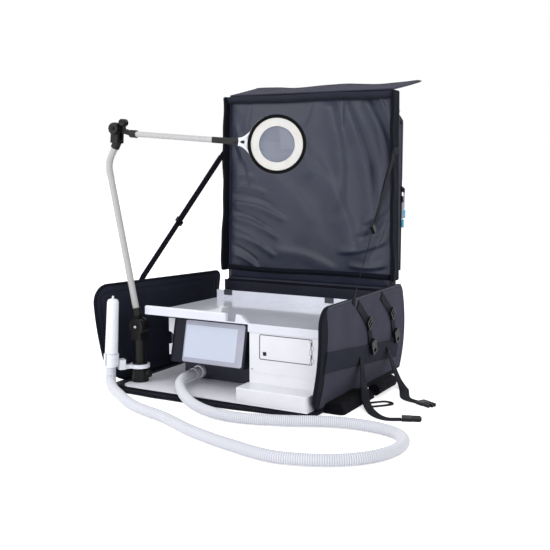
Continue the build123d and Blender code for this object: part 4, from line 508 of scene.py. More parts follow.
def smooth_line(points, step=6.0):
    """Points at even steps along a smooth curve through the given ones."""
    given = np.asarray(points, float)
    padded = np.vstack([2 * given[0] - given[1], given, 2 * given[-1] - given[-2]])
    fine = []
    for i in range(len(given) - 1):
        a, b, c, d = padded[i : i + 4]
        for t in np.linspace(0, 1, 24, endpoint=False):
            bend = (2 * a - 5 * b + 4 * c - d) * t**2 + (3 * b - a - 3 * c + d) * t**3
            fine.append(0.5 * (2 * b + (c - a) * t + bend))
    fine = np.array(fine + [given[-1]])
    run = lengths(fine)
    count = max(2, int(round(run[-1] / step)) + 1)
    return places_at(fine, run, np.linspace(0, run[-1], count))


def tube(name, line, radius, paint, sides=12, squash=(1.0, 1.0)):
    """Tube round a line of points; radius is a number or one for each point."""
    line = np.asarray(line, float)
    heading = unit(np.gradient(line, axis=0))
    side = np.cross(heading[0], (0.0, 0.0, 1.0))
    if np.linalg.norm(side) < 0.05:
        side = np.array([1.0, 0.0, 0.0])
    turn = np.linspace(0, 2 * math.pi, sides, endpoint=False)
    points, cut = [], []
    for place, ahead, r, run in zip(line, heading, np.broadcast_to(radius, len(line)), lengths(line)):
        side = unit(side - ahead * (side @ ahead))
        up = np.cross(ahead, side)
        ring = np.outer(np.cos(turn) * squash[0], side) + np.outer(np.sin(turn) * squash[1], up)
        points.append(place + r * ring)
        cut.append(np.column_stack([np.full(sides, run), turn * r]))
    return add_mesh(name, np.vstack(points), ring_faces(len(line), sides, flip=True), paint, np.vstack(cut))


# Hose: the route repeats the source's points, and the ribbed tube follows its smooth line

HOSE_ROUTE = (
    (-288.71, -285, 59.02), (-290.39, -285, 33.08), (-274, -304, 18), (-244, -330, 14), (-198, -363, 14),
    (-148, -402, 14), (-99, -431, 14), (-50, -450, 14), (3, -466, 14), (56, -491, 14), (114, -522, 14),
    (173, -544, 14), (225, -561, 14), (273, -573, 14), (320, -586, 14), (367, -592, 14), (418, -581, 14),
    (470, -560, 14), (511, -531, 14), (541, -497, 14), (560, -456, 14), (567, -413, 14), (560, -371, 14),
    (538, -338, 14), (504, -318, 14), (461, -309, 14), (413, -309, 14), (370, -318, 14), (329, -335, 14),
    (290, -356, 14), (247, -372, 14), (203, -387, 14), (155, -395, 14), (108, -394, 15), (64, -384, 17),
    (18, -362, 20), (-28, -327, 24), (-72, -281, 28), (-104, -236, 30), (-120, -192, 32), (-120, -152.6, 32),
)
HOSE_R = 13.0
RIB_DEPTH = 1.5
PLAIN_END, RIB_FADE = 20, 8

route_curve = bpy.data.curves.new("hose_route", "CURVE")
route_curve.dimensions = "3D"
route_curve.resolution_u = 48
spline = route_curve.splines.new("NURBS")
spline.points.add(len(HOSE_ROUTE) - 1)
for point, place in zip(spline.points, HOSE_ROUTE):
    point.co = (*(value * MM for value in place), 1)
spline.order_u = 3
spline.use_endpoint_u = True
route_object = bpy.data.objects.new("hose_route", route_curve)
bpy.context.scene.collection.objects.link(route_object)
bpy.context.view_layer.update()
route_mesh = bpy.data.meshes.new_from_object(route_object)
hose_line = np.array([vertex.co for vertex in route_mesh.vertices], float) / MM
bpy.data.objects.remove(route_object)
hose_run = lengths(hose_line)
from_end = np.minimum(hose_run, hose_run[-1] - hose_run)
ribbed = np.clip((from_end - PLAIN_END) / RIB_FADE, 0, 1)
hose_radii = HOSE_R - RIB_DEPTH * ribbed * (0.5 - 0.5 * np.cos(2 * math.pi * hose_run / RIB_PITCH)) ** 1.5
hose_tube = tube("hose_tube", hose_line, hose_radii, "hose", sides=20)
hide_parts("hose")
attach(hose_tube, "root")

# Soft goods helpers


def closed(made):
    """Turns a closed mesh's faces outward."""
    bm = bmesh.new()
    bm.from_mesh(made.data)
    bmesh.ops.recalc_face_normals(bm, faces=bm.faces)
    bm.to_mesh(made.data)
    bm.free()
    return made


def spread(count, crowd=0.5):
    """Steps from 0 to 1 that crowd towards both ends."""
    even = np.linspace(0, 1, count)
    return (1 - crowd) * even + crowd * (0.5 - 0.5 * np.cos(math.pi * even))


def corner(distance, radius):
    """How far a rounded corner pulls the edge in, at a distance from the side."""
    left = np.clip(radius - distance, 0, radius)
    return radius - np.sqrt(radius**2 - left**2)


def swell(distance, radius):
    """Rounded edge: from 0 at the edge to 1 at radius from it."""
    return np.sqrt(1 - (1 - np.clip(distance / radius, 0, 1)) ** 2)


def ripple(a, b, size, seed=0.0):
    """Smooth cloth-like unevenness between -1 and 1, with features of the given size."""
    total = 0
    for k in range(5):
        c, s = math.cos(seed + 2.4 * k), math.sin(seed + 2.4 * k)
        bend = 0.9 * np.sin((a * s - b * c) / size * 1.7 + seed * 5 + k)
        total = total + np.sin((a * c + b * s) / size * (1 + 0.31 * k) + bend + seed * 3 * k)
    return total / 3.2


def fold(a, b, start, end, width, height):
    """Fold of cloth that runs from start to end and fades at both."""
    start = np.array(start, float)
    run = np.array(end, float) - start
    long = math.sqrt(run @ run)
    share = ((a - start[0]) * run[0] + (b - start[1]) * run[1]) / long**2
    off = ((a - start[0]) * run[1] - (b - start[1]) * run[0]) / long
    off = off + 0.06 * long * np.sin(math.pi * share) * (1 if run[1] < 0 else -1)
    width = np.where(off < 0, 0.6, 1.5) * width
    fade = np.clip(share * 4 + 0.6, 0, 1) * np.clip((1 - share) * 4 + 0.6, 0, 1)
    fade = fade * fade * (3 - 2 * fade)
    return height * fade * np.exp(-((off / width) ** 2))


def grid(x, y, z):
    """Grid of points from coordinates that may each run along one side only."""
    return np.stack(np.broadcast_arrays(x, y, z), -1)


def least(*distances):
    """The smallest of several distances at each place."""
    nearest = distances[0]
    for other in distances[1:]:
        nearest = np.minimum(nearest, other)
    return nearest


def belongs(piece, body, slot, *stands_for):
    """Makes a piece ride on its body and hides the CAD nodes it stands for; slot is not used."""
    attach(piece, body)
    if stands_for:
        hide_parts(*stands_for)


def pad(name, front, back, paint, rim=3, bulge=0.0, face_paint=None):
    """Closed padded piece from its two faces, each a grid of points, joined by a rounded rim."""
    rows, columns = front.shape[:2]
    ring = [(0, c) for c in range(columns)] + [(r, columns - 1) for r in range(1, rows)]
    ring += [(rows - 1, c) for c in range(columns - 2, -1, -1)]
    ring += [(r, 0) for r in range(rows - 2, 0, -1)]
    at = np.array([r * columns + c for r, c in ring])
    flat = [front.reshape(-1, 3), back.reshape(-1, 3)]
    count = rows * columns
    middles = lengths(front[rows // 2]), lengths(front[:, columns // 2])
    cut = np.stack(np.meshgrid(*middles), -1).reshape(-1, 2)
    cuts = [cut, cut]
    first, last = flat[0][at], flat[1][at]
    out = np.cross(np.roll(first, -1, 0) - np.roll(first, 1, 0), last - first)
    out /= np.linalg.norm(out, axis=1)[:, None] + 1e-9
    if ((first - first.mean(0)) * out).sum() < 0:
        out = -out
    loops = [at]
    for k in range(1, rim):
        share = k / rim
        flat.append(first + (last - first) * share + out * bulge * math.sin(math.pi * share))
        cuts.append(cut[at] + 8 * share)
        loops.append(np.arange(len(at)) + 2 * count + (k - 1) * len(at))
    loops.append(at + count)
    faces = grid_faces(rows, columns) + grid_faces(rows, columns, start=count, flip=True)
    for a, b in zip(loops, loops[1:]):
        faces += [tuple(map(int, quad)) for quad in zip(a, b, np.roll(b, -1), np.roll(a, -1))]
    points = np.vstack(flat)
    if face_paint is not None:
        face_paint = face_paint(np.array([points[list(f)].mean(0) for f in faces]))
    return closed(add_mesh(name, points, faces, paint, np.vstack(cuts), face_paint))


def strap(name, points, outward, width, thickness, paint="webbing", step=5.0, life=0.0, exact=False):
    """Webbing through points, with its face turned to the outward direction at each."""
    points = np.asarray(points, float)
    line = points if exact else smooth_line(points, step)
    given, run = lengths(points), lengths(line)
    face = places_at(np.asarray(outward, float), given, run / run[-1] * given[-1])
    heading = unit(np.gradient(line, axis=0))
    face = unit(face - heading * (face * heading).sum(1)[:, None])
    across = np.cross(heading, face)
    line = line + face * (life * np.sin(run / 37 + width))[:, None]
    w, t = width / 2, thickness / 2
    section = [(-w, -t * 0.6), (-w, t * 0.6), (-w + 1.2, t)]
    section += [(-w / 3, t * 0.8), (w / 3, t * 0.8), (w - 1.2, t)]
    section += [(-side, -lift) for side, lift in section]
    rings, cut = [], []
    for side, lift in section:
        rings.append(line + across * side + face * lift)
        cut.append(np.column_stack([run, np.full(len(run), side + w + (40 if lift < 0 else 0))]))
    points, cut = np.stack(rings, 1).reshape(-1, 3), np.stack(cut, 1).reshape(-1, 2)
    return closed(add_mesh(name, points, ring_faces(len(line), len(section)), paint, cut))


STITCH_LONG, STITCH_GAP, STITCH_WIDE, STITCH_HIGH = 3.2, 1.8, 0.8, 0.5


def dashes(name, line, outward):
    """Row of stitches that lie on a surface along a line."""
    line = smooth_line(line, 4.0)
    run = lengths(line)
    outward = np.asarray(outward, float)
    starts = np.arange(STITCH_GAP, run[-1] - STITCH_LONG, STITCH_LONG + STITCH_GAP)
    points, faces = [], []
    for near, far in zip(places_at(line, run, starts), places_at(line, run, starts + STITCH_LONG)):
        side = np.cross(far - near, outward)
        side *= STITCH_WIDE / 2 / np.linalg.norm(side)
        base = len(points)
        for end in (near, far):
            points += [end - side, end + side, end + outward * STITCH_HIGH]
        faces += [(base, base + 1, base + 4, base + 3), (base + 1, base + 2, base + 5, base + 4)]
        faces += [(base + 2, base, base + 3, base + 5), (base, base + 2, base + 1)]
        faces.append((base + 3, base + 4, base + 5))
    return closed(add_mesh(name, points, faces, "piping", np.asarray(points)[:, :2]))


ZIP_PITCH, TOOTH_LONG, TOOTH_WIDE, TOOTH_HIGH = 2.6, 1.5, 2.2, 1.4


def zip_teeth(name, line, outward, across, body):
    """Row of zip teeth on a body along a line, standing outward, each set across it."""
    line = smooth_line(line, 4.0)
    run = lengths(line)
    outward = np.asarray(outward, float)
    side = np.asarray(across, float) * TOOTH_WIDE / 2
    at = np.arange(ZIP_PITCH, run[-1], ZIP_PITCH)
    places = places_at(line, run, at)
    ahead = places_at(line, run, at + 0.5) - places
    ahead *= TOOTH_LONG / 2 / (np.linalg.norm(ahead, axis=1)[:, None] + 1e-9)
    points, faces = [], []
    for number, (place, way) in enumerate(zip(places, ahead)):
        middle = place + side * (0.5 if number % 2 else -0.5)
        base = len(points)
        for rise, shrink in ((0, 1.0), (TOOTH_HIGH, 0.75)):
            for a, s in ((-1, -1), (1, -1), (1, 1), (-1, 1)):
                points.append(middle + way * a * shrink + side * s * shrink + outward * rise)
        faces += [(base, base + 1, base + 2, base + 3), (base + 7, base + 6, base + 5, base + 4)]
        for k in range(4):
            faces.append((base + k, base + (k + 1) % 4, base + 4 + (k + 1) % 4, base + 4 + k))
    teeth = closed(add_mesh(name, points, faces, "zip", np.asarray(points)[:, :2]))
    belongs(teeth, body, "buckle_plastic")


def edging(name, line, step, radius, paint, body, slot, **shape):
    """Round tape or piping along a smooth line."""
    belongs(tube(name, smooth_line(line, step), radius, paint, **shape), body, slot)


def rounded_ring(x0, x1, z0, z1, radius, y, grow=0.0, steps=9):
    """Closed line round a rectangle with rounded corners, grown by a margin."""
    spots = []
    for quarter, (x, z) in enumerate(((x1, z1), (x0, z1), (x0, z0), (x1, z0))):
        cx = x - radius if x == x1 else x + radius
        cz = z - radius if z == z1 else z + radius
        for a in np.radians(np.linspace(90 * quarter, 90 * quarter + 90, steps)):
            spots.append((cx + (radius + grow) * math.cos(a), y, cz + (radius + grow) * math.sin(a)))
    return np.array(spots + spots[:1])


def cushion(name, front, back, paint, body, slot, *stands_for, fill, **shape):
    """Padded cloth on its body; fill is not used."""
    piece = pad(name, front, back, paint, **shape)
    belongs(piece, body, slot, *stands_for)


# Bag: the case half

HALF_W = 298.0
HALF_D = 281.0
FLOOR_T = 10.0
FLOOR_CORNER = 25
WALL_T = 9.0
WALL_BULGE = 12.0
WALL_FRONT_H, WALL_REAR_H = 268.0, 256.0
SAG_FRONT, SAG_REAR = 10.0, 5.0
WALL_HEAD_R, WALL_BACK_R = 50.0, 22.0
FLARE, FLARE_REAR = {-1: 52.0, 1: 20.0}, 2.0
FOOT_R = {-1: 76.0, 1: 52.0}
TAPE_W = 34
REAR_WALL_H = 228.0
HINGE_Y = 279.0
LID_Z0, LID_Z1 = 228.3, 790.0
LID_BACK_Y = 304.0
LID_HALF_FOOT, LID_HALF_HEAD, LID_RISE = 278.0, 270.0, 562.0


def to_rear(front, rear, y):
    """Value that goes evenly from the case's front edge to its rear edge."""
    return front + (rear - front) * (y + HALF_D) / (2 * HALF_D)


def wall_top(y):
    """Height of a side wall's top edge."""
    return to_rear(WALL_FRONT_H, WALL_REAR_H, y)


def wall_sag(side, y):
    """How far a side wall's soft top edge has sunk."""
    return to_rear(SAG_FRONT, SAG_REAR, y) if side > 0 else 0.0


def wall_face(side, y, z):
    """Distance of a side wall's outer face from the middle plane."""
    share = (z - FLOOR_T) / (wall_top(y) - FLOOR_T)
    return HALF_W + to_rear(FLARE[side], FLARE_REAR, y) * share + 4 * WALL_BULGE * share * (1 - share)


def on_wall(side, y, z, gap):
    """Place outside a side wall's outer face by a gap."""
    return (side * (wall_face(side, y, z) + gap), y, z)


def wall_normal(side, y, z):
    """Outward direction of a side wall's face."""
    here = wall_face(side, y, z)
    return (side, here - wall_face(side, y + 1, z), here - wall_face(side, y, z + 1))


def lid_half(z):
    """Half the lid's width at height z."""
    return LID_HALF_FOOT + (LID_HALF_HEAD - LID_HALF_FOOT) * (z - REAR_WALL_H) / LID_RISE


def level(half, y, z):
    """Straight line across the bag."""
    return [(x, y, z) for x in np.linspace(-half, half, 12)]


def wall_edge(side, rear_gap, inset, gap):
    """Line round a side wall, inset from its edge: foot, front, top, rear."""
    def top(y):
        return wall_top(y) - wall_sag(side, y) - inset

    y0, y1 = -HALF_D + inset, HALF_D - rear_gap - inset
    low, foot = FLOOR_T + inset, FOOT_R[side] - inset
    head, back = WALL_HEAD_R - inset, max(4.0, WALL_BACK_R - inset)
    spots = [(y, low) for y in np.linspace(y1, y0 + foot, 14)]
    for a in np.linspace(0.1, math.pi / 2, 14):
        spots.append((y0 + foot - foot * math.sin(a), low + foot - foot * math.cos(a)))
    spots += [(y0, z) for z in np.linspace(low + foot, top(y0) - head, 8)[1:-1]]
    for a in np.linspace(0, math.pi / 2, 10):
        y = y0 + head - head * math.cos(a)
        spots.append((y, top(y) - head + head * math.sin(a)))
    spots += [(y, top(y)) for y in np.linspace(y0 + head, y1 - back, 16)[1:-1]]
    for a in np.linspace(0, math.pi / 2, 6):
        y = y1 - back + back * math.sin(a)
        spots.append((y, top(y) - back + back * math.cos(a)))
    spots += [(y1, z) for z in np.linspace(top(y1) - back, low, 8)[1:]]
    return [on_wall(side, y, z, gap) for y, z in spots]


def side_wall(side, rear_gap, name, node):
    """Padded side wall with bound edges; the inside is lining, darkened as painted shade, and the outside
    the outer cloth.
    """
    y0, y1 = -HALF_D, HALF_D - rear_gap
    y = y0 + (y1 - y0) * spread(110, 0.6)[None, :]
    low = FLOOR_T + corner(y - y0, FOOT_R[side])
    high = wall_top(y) - wall_sag(side, y) - corner(y - y0, WALL_HEAD_R) - corner(y1 - y, WALL_BACK_R)
    z = low + (high - low) * spread(64, 0.6)[:, None]
    edge = least(y - y0, y1 - y, z - low, high - z)
    half = WALL_T / 2 * np.maximum(swell(edge, WALL_T / 2), 0.3)
    middle = wall_face(side, y, z) - WALL_T / 2
    deep = np.clip(edge / 40, 0, 1)
    seam = np.exp(-(((edge - 24) / 3.5) ** 2))
    outer = middle + half + deep * (0.9 * ripple(y, z, 46, side) + 0.5 * ripple(z, y, 21, 2.0)) - 0.8 * seam
    inner = middle - half - deep * (1.0 + 1.3 * ripple(y, z, 60, 1.7 + side)) + 1.6 * seam

    def paint(middles):
        inside = side * middles[:, 0] < wall_face(side, middles[:, 1], middles[:, 2]) - WALL_T / 2
        return np.where(inside, 1, np.where(middles[:, 1] - y0 < TAPE_W, 2, 0))

    cushion(name, grid(side * outer, y, z), grid(side * inner, y, z), ["outer", "case", "binding"],
            "root", "outer_fabric", node, fill=0.5, face_paint=paint)
    bound = wall_edge(side, rear_gap, 3.0, -WALL_T / 2)
    edging(name + "_binding", bound, 6.0, 5.0, "binding", "root", "webbing", sides=10)
    stitched = wall_edge(side, rear_gap, 14.0, -WALL_T - 0.2)
    belongs(dashes(name + "_stitches", stitched, (-side, 0, 0)), "root", "webbing")


side_wall(-1, 18.0, "left_wall", "side_wall_left")
side_wall(1, 0.0, "right_wall", "side_wall_right")

top_line = []
for y in np.linspace(-HALF_D + 42, HALF_D - 12, 14):
    z = wall_top(y) - wall_sag(1, y) - 2.0 - corner(y + HALF_D, WALL_HEAD_R)
    top_line.append(on_wall(1, y, z, -1.5))
edging("right_wall_piping", top_line, 6.0, 2.6, "piping", "root", "outer_fabric", sides=8)
tape_line = []
for z in np.linspace(70, 236, 8):
    tape_line.append(on_wall(1, -HALF_D + 24 + corner(z - FLOOR_T, 55) * 0.2, z, 0.3))
belongs(dashes("right_tape_stitches", tape_line, (1, 0, 0)), "root", "outer_fabric")

# Floor panel with its quilted lining, rear wall and front lip

x = HALF_W * (2 * spread(90, 0.5)[None, :] - 1)
high = HALF_D - corner(HALF_W - np.abs(x), FLOOR_CORNER)
y = 2 * high * spread(84, 0.5)[:, None] - high
edge = least(HALF_W - np.abs(x), y + high, high - y)
half = 4.8 * np.maximum(swell(edge, 5), 0.35)
# The floor's top is the lining painted darker as shade inside the case
cushion("floor_pad", grid(x, y, 4.7 + half), grid(x, y, 4.9 - half), ["case", "mesh"],
        "root", "lining_fabric", "back_panel", fill=0.5,
        face_paint=lambda middles: (middles[:, 2] < 4.0).astype(int))
bend_x, bend_y = HALF_W - FLOOR_CORNER - 1, HALF_D - FLOOR_CORNER - 1
bend = [(FLOOR_CORNER * math.cos(a), FLOOR_CORNER * math.sin(a)) for a in np.linspace(0.2, 1.4, 5)]
outline = [(1 - HALF_W, y) for y in np.linspace(bend_y, -bend_y, 12)]
outline += [(-bend_x - a, -bend_y - b) for a, b in bend]
outline += [(x, 1 - HALF_D) for x in np.linspace(-bend_x, bend_x, 16)]
outline += [(bend_x + b, -bend_y - a) for a, b in bend]
outline += [(HALF_W - 1, y) for y in np.linspace(-bend_y, bend_y, 12)]
outline = [(x, y, 5.2) for x, y in outline]
edging("floor_binding", outline, 6.0, 4.9, "binding", "root", "webbing", sides=10)

REAR_MIDDLE = HALF_D - WALL_T / 2
x = (HALF_W - WALL_T - 0.3) * np.linspace(-1, 1, 80)[None, :]
z = FLOOR_T + (REAR_WALL_H - FLOOR_T) * spread(40, 0.5)[:, None]
edge = least(HALF_W - WALL_T - np.abs(x), z - FLOOR_T, REAR_WALL_H - z)
half = WALL_T / 2 * np.maximum(swell(edge, 4.5), 0.3)
soft = np.clip(edge / 40, 0, 1)
rear_out = REAR_MIDDLE + half + soft * 0.8 * ripple(x, z, 50, 0.4)
rear_in = REAR_MIDDLE - half - soft * (1.5 + 1.5 * ripple(x, z, 55, 2.2))
# The rear wall's inside is the lining painted darker as shade inside the case
cushion("rear_wall_pad", grid(x, rear_out, z), grid(x, rear_in, z), ["outer", "case"],
        "root", "outer_fabric", "rear_wall", fill=0.5,
        face_paint=lambda middles: (middles[:, 1] < REAR_MIDDLE).astype(int))
rear_line = level(284, REAR_MIDDLE, REAR_WALL_H - 3.4)
edging("rear_wall_binding", rear_line, 8.0, 3.3, "binding", "root", "webbing", sides=8)
hinge_line = level(276, HINGE_Y - 2.5, REAR_WALL_H - 2.0)
edging("hinge_welt", hinge_line, 8.0, 5.2, "binding", "lid", "webbing", sides=10)

# Front lip: a soft zip edge that hangs forward, thicker at its rolled nose

LIP_X0, LIP_X1, LIP_REACH = -258.0, 270.0, 31.0
x = LIP_X0 + (LIP_X1 - LIP_X0) * spread(120, 0.3)[None, :]
along = (x - LIP_X0) / (LIP_X1 - LIP_X0)
reach = LIP_REACH * np.interp(along, [0, 0.25, 0.5, 0.75, 1], [0.8, 0.99, 0.97, 0.68, 0.2])
reach = reach + 0.8 * np.sin(x / 31) + 0.5 * np.sin(x / 13)
share = spread(22, 0.6)[:, None]
y = -HALF_D - 0.3 - reach * share
edge = least(x - LIP_X0, LIP_X1 - x, reach * share + 2, reach * (1 - share))
half = 2.9 * np.maximum(swell(edge, 3.5), 0.4)
sag = 0.3 * ripple(x, y, 33, 0.9)
cushion("front_lip_cloth", grid(x, y, 3.1 + half + sag), grid(x, y, 3.0 - half), "binding",
        "root", "outer_fabric", "front_lip", fill=0.4)
nose = grid(x, y, 6.1 + sag)[-1, 4:116:8]
zip_teeth("front_lip_zip", nose + (0, 9, 0.1), (0, 0, 1), (0, 1, 0), "root")
belongs(dashes("front_lip_stitches", nose + (0, 15, 0), (0, 0, 1)), "root", "webbing")

# Bag: the lid, with wrinkled lining, zip gussets, top and foot bands

# Each fold of the lining: from x, z to x, z, its width and its height
LINING_FOLDS = (
    (78, 765, 118, 480, 22, 4.2), (138, 740, 222, 430, 18, 5.6), (186, 775, 262, 590, 13, 5.6),
    (224, 778, 268, 660, 9, -2.8), (166, 700, 215, 500, 13, 1.8), (256, 560, 190, 380, 13, 2.6),
    (266, 520, 214, 330, 9, -2.2), (30, 600, 170, 330, 30, 3.6), (-262, 520, -140, 505, 7, 2.6),
    (-264, 496, -120, 470, 8, -2.2), (-262, 470, -80, 428, 9, 3.0), (-264, 446, -140, 404, 6, -2.2),
    (-262, 424, -100, 372, 8, 2.8), (-262, 398, -150, 350, 6, 2.2), (-264, 372, -110, 318, 8, 2.6),
    (-262, 340, -170, 296, 6, -2.0), (-258, 314, -160, 270, 7, 2.2), (-262, 556, -176, 548, 8, 1.8),
    (-250, 640, -196, 520, 12, -1.8), (-240, 700, -214, 600, 12, 2.0), (20, 780, -6, 700, 11, 1.6),
    (110, 780, 116, 690, 9, -1.6), (-90, 330, 90, 286, 16, 1.8), (262, 372, 120, 332, 9, 2.2),
    (264, 420, 164, 372, 8, -1.8), (258, 300, 150, 292, 8, 2.0), (264, 470, 196, 420, 8, 1.8),
    (-190, 772, -204, 690, 12, 1.6), (-120, 560, 30, 420, 30, 2.4), (-40, 700, 20, 560, 26, 2.2),
    (150, 690, 176, 300, 44, 3.0),
)
FOLD_GAIN = 2.1
LINING_INSET = 8

low, high = LID_Z0 + LINING_INSET, LID_Z1 - LINING_INSET
z = low + (high - low) * spread(150, 0.35)[:, None]
half_x = lid_half(z) - 7
x = half_x * (2 * spread(150, 0.35)[None, :] - 1)
edge = least(half_x - np.abs(x), z - low, high - z)
puff = 9.0 * (1 - np.exp(-edge / 30.0))
crease = sum(fold(x, z, row[:2], row[2:4], row[4], FOLD_GAIN * row[5]) for row in LINING_FOLDS)
crease = crease + 1.8 * ripple(x, z, 80, 0.3) + 0.6 * ripple(x, z, 27, 1.1)
proud = np.maximum(puff + np.clip(edge / 30, 0, 1) * crease, 0.0) + 2.2 * np.clip(edge / 4, 0, 1)
cushion("lid_lining_cloth", grid(x, HINGE_Y - 0.4 - proud, z), grid(x, HINGE_Y - 0.2, z), "lining",
        "lid", "lining_fabric", "lid_lining", fill=0.5)

z = LID_Z0 + (LID_Z1 - LID_Z0) * spread(110, 0.5)[:, None]
half_x = lid_half(z) - corner(LID_Z1 - z, 10)
x = half_x * (2 * spread(110, 0.5)[None, :] - 1)
edge = least(half_x - np.abs(x), z - LID_Z0, LID_Z1 - z)
shell_back = LID_BACK_Y - 11 * (1 - swell(edge, 11))
shell_front = HINGE_Y + 0.1 + 3 * (1 - swell(edge, 4))
cushion("lid_shell", grid(x, shell_back, z), grid(x, shell_front, z), "outer",
        "lid", "outer_fabric", "lid_panel", fill=0.6)


def gusset_wave(side, z):
    """Sideways wander of the lid's soft edge."""
    wave = 1.6 * np.sin(z / 41 + side) + 1.0 * np.sin(z / 17 + 2 * side)
    return wave + 6.0 * np.exp(-(((z - 300) / 60) ** 2)) * (1 if side < 0 else 0.4)


GUSSET_Y0, GUSSET_Y1 = 256, 303
for side, word in ((-1, "left"), (1, "right")):
    z = LID_Z0 + 30 + (LID_Z1 - LID_Z0 - 30) * spread(120, 0.2)[:, None]
    y = GUSSET_Y0 + (GUSSET_Y1 - GUSSET_Y0) * spread(26, 0.5)[None, :]
    half = 2.4 * np.maximum(swell(least(y - GUSSET_Y0, GUSSET_Y1 - y), 3), 0.35)
    middle = lid_half(z) + 2.9 + gusset_wave(side, z) * np.clip((290 - y) / 30, 0, 1)
    outer = grid(side * (middle + half + 0.3 * ripple(z, y, 19, side)), y, z)
    cushion("lid_gusset_" + word, outer, grid(side * (middle - half), y, z), "binding",
            "lid", "outer_fabric", *(["lid_gussets"] if side < 0 else []), fill=0.3)
    z = np.linspace(LID_Z0 + 32, LID_Z1 - 3, 46)
    x = side * (lid_half(z) + 2.4 + gusset_wave(side, z))
    edging("lid_roll_" + word, grid(x, 257, z), 5.0, 5.2, "binding", "lid", "webbing", sides=10)
    zip_teeth("lid_zip_" + word, grid(x - side * 2.5, 251.8, z), (0, -1, 0), (1, 0, 0), "lid")
    seam = grid(side * (lid_half(z) + 5.8), 297, z)
    edging("lid_seam_" + word, seam, 8.0, 1.8, "piping", "lid", "outer_fabric", sides=8)

x = np.linspace(2 - lid_half(LID_Z1), lid_half(LID_Z1) - 2, 30)
band = grid(x, 266 + 1.2 * np.sin(x / 60), 779 + 1.2 * np.sin(x / 45))
edging("lid_top_band", band, 7.0, 10.5, "band", "lid", "webbing", sides=14, squash=(0.62, 1.0))
zip_teeth("lid_zip_top", band + (0, -6.9, -6), (0, -1, 0), (0, 0, 1), "lid")
FOOT_ROLL_Z = 262
x = np.linspace(6 - lid_half(FOOT_ROLL_Z), lid_half(FOOT_ROLL_Z) - 6, 30)
roll = grid(x, 268 + np.sin(x / 50), 268 + 1.6 * np.sin(x / 70))
edging("lid_foot_roll", roll, 7.0, 8.0, "binding", "lid", "webbing", squash=(0.7, 1.0))

# Flap bent back over the lid's top edge, with a wandering zip edge

FLAP_RISE = math.radians(12.0)
FLAP_UP = np.array([0, -math.sin(FLAP_RISE), math.cos(FLAP_RISE)])
FLAP_DEPTH = 133.0
FLAP_SEAM = (-266, 266)
FLAP_END = (-248, 301)
FLAP_MIDDLE = 3.2
u = spread(120, 0.3)[None, :]
v = spread(30, 0.4)[:, None]
depth = FLAP_DEPTH + 2.0 * np.sin(u * 21) + 1.4 * np.sin(u * 47)
seam_x, end_x = (left + (right - left) * u for left, right in (FLAP_SEAM, FLAP_END))
x = seam_x * (1 - v) + end_x * v
run = depth * v
middle = FLAP_MIDDLE + 2.2 * np.sin(u * 13 + 1) * v**2 + 0.6 * ripple(x, run, 40, 0.2) * v
edge = least(np.minimum(u, 1 - u) * 540, run + 3, depth - run)
half = 2.9 * np.maximum(swell(edge, 4), 0.4)


def flap_point(x, run, off):
    """Point of the flap from its place along and its offset square to it."""
    y = HINGE_Y - 0.3 + run * math.cos(FLAP_RISE) - off * math.sin(FLAP_RISE)
    return grid(x, y, LID_Z1 + 0.3 + run * math.sin(FLAP_RISE) + off * math.cos(FLAP_RISE))


# The flap's underside is lining painted lighter, as painted bounce light from the floor
cushion("front_flap_cloth", flap_point(x, run, middle + half), flap_point(x, run, middle - half),
        ["outer", "flap_lining_painted_bounce"], "flap", "outer_fabric", "front_flap", fill=0.3,
        face_paint=lambda middles: ((middles - (0, HINGE_Y, LID_Z1)) @ FLAP_UP < 3.4).astype(int))
rim_line = flap_point(x[-1], run[-1] + 1.5, middle[-1])[::4]
edging("flap_zip_edge", rim_line, 5.0, 3.6, "binding", "flap", "webbing", sides=10)
tape = flap_point(x[-1], run[-1] + 6.5, middle[-1])[::4]
belongs(strap("flap_zip_tape", tape, [FLAP_UP] * len(tape), 9, 1.6, life=0.3), "flap", "webbing")
zip_teeth("flap_zip", tape + (0, 3.0, 0.9), (0, -0.21, 0.98), (0, 0.98, 0.21), "flap")
welt_line = level(264, HINGE_Y - 1.0, LID_Z1 - 1.0)
edging("flap_welt", welt_line, 8.0, 4.4, "binding", "lid", "webbing", sides=10)

# Outer pocket on the lid's back: crowned face, piped edge and a zip round its side

POCKET = x0, x1, z0, z1, pocket_r = (-215.0, 274.0, 268.0, 738.0, 42.0)
x = x0 + (x1 - x0) * spread(110, 0.5)[None, :]
trim = corner(np.minimum(x - x0, x1 - x), pocket_r)
low, high = z0 + trim, z1 - trim
z = low + (high - low) * spread(110, 0.5)[:, None]
edge = least(x - x0, x1 - x, z - low, high - z)
face_y = LID_BACK_Y + 30.3 + 27.5 * swell(edge, 26)
face_y = face_y + np.clip(edge / 60, 0, 1) * 0.8 * ripple(x, z, 70, 0.7)
cushion("outer_pocket_cloth", grid(x, face_y, z), grid(x, LID_BACK_Y + 0.5, z), "outer",
        "lid", "outer_fabric", "outer_pocket", fill=0.6, rim=6, bulge=0.8)
piped = rounded_ring(*POCKET, 336, -1.2)
edging("pocket_piping", piped, 5.0, 2.6, "piping", "lid", "outer_fabric", sides=8)
foot = rounded_ring(*POCKET, 306.5, -0.5)
edging("pocket_foot_seam", foot, 6.0, 2.0, "binding", "lid", "webbing", sides=8)
zip_ring = smooth_line(rounded_ring(*POCKET, 322, 0.2), 7.0)
outward = np.cross((0, 1, 0), np.gradient(zip_ring, axis=0))
belongs(strap("pocket_zip_tape", zip_ring, outward, 18, 1.0, "binding", exact=True), "lid", "webbing")

# Straps: stays, compression straps, band, tails and the belt's loop

WEB_T = 1.8
WEB_W = 25
STAY_W = 20
STAY_Z = 618.0
VIEW = np.array([-0.387, 0.918, -0.08])


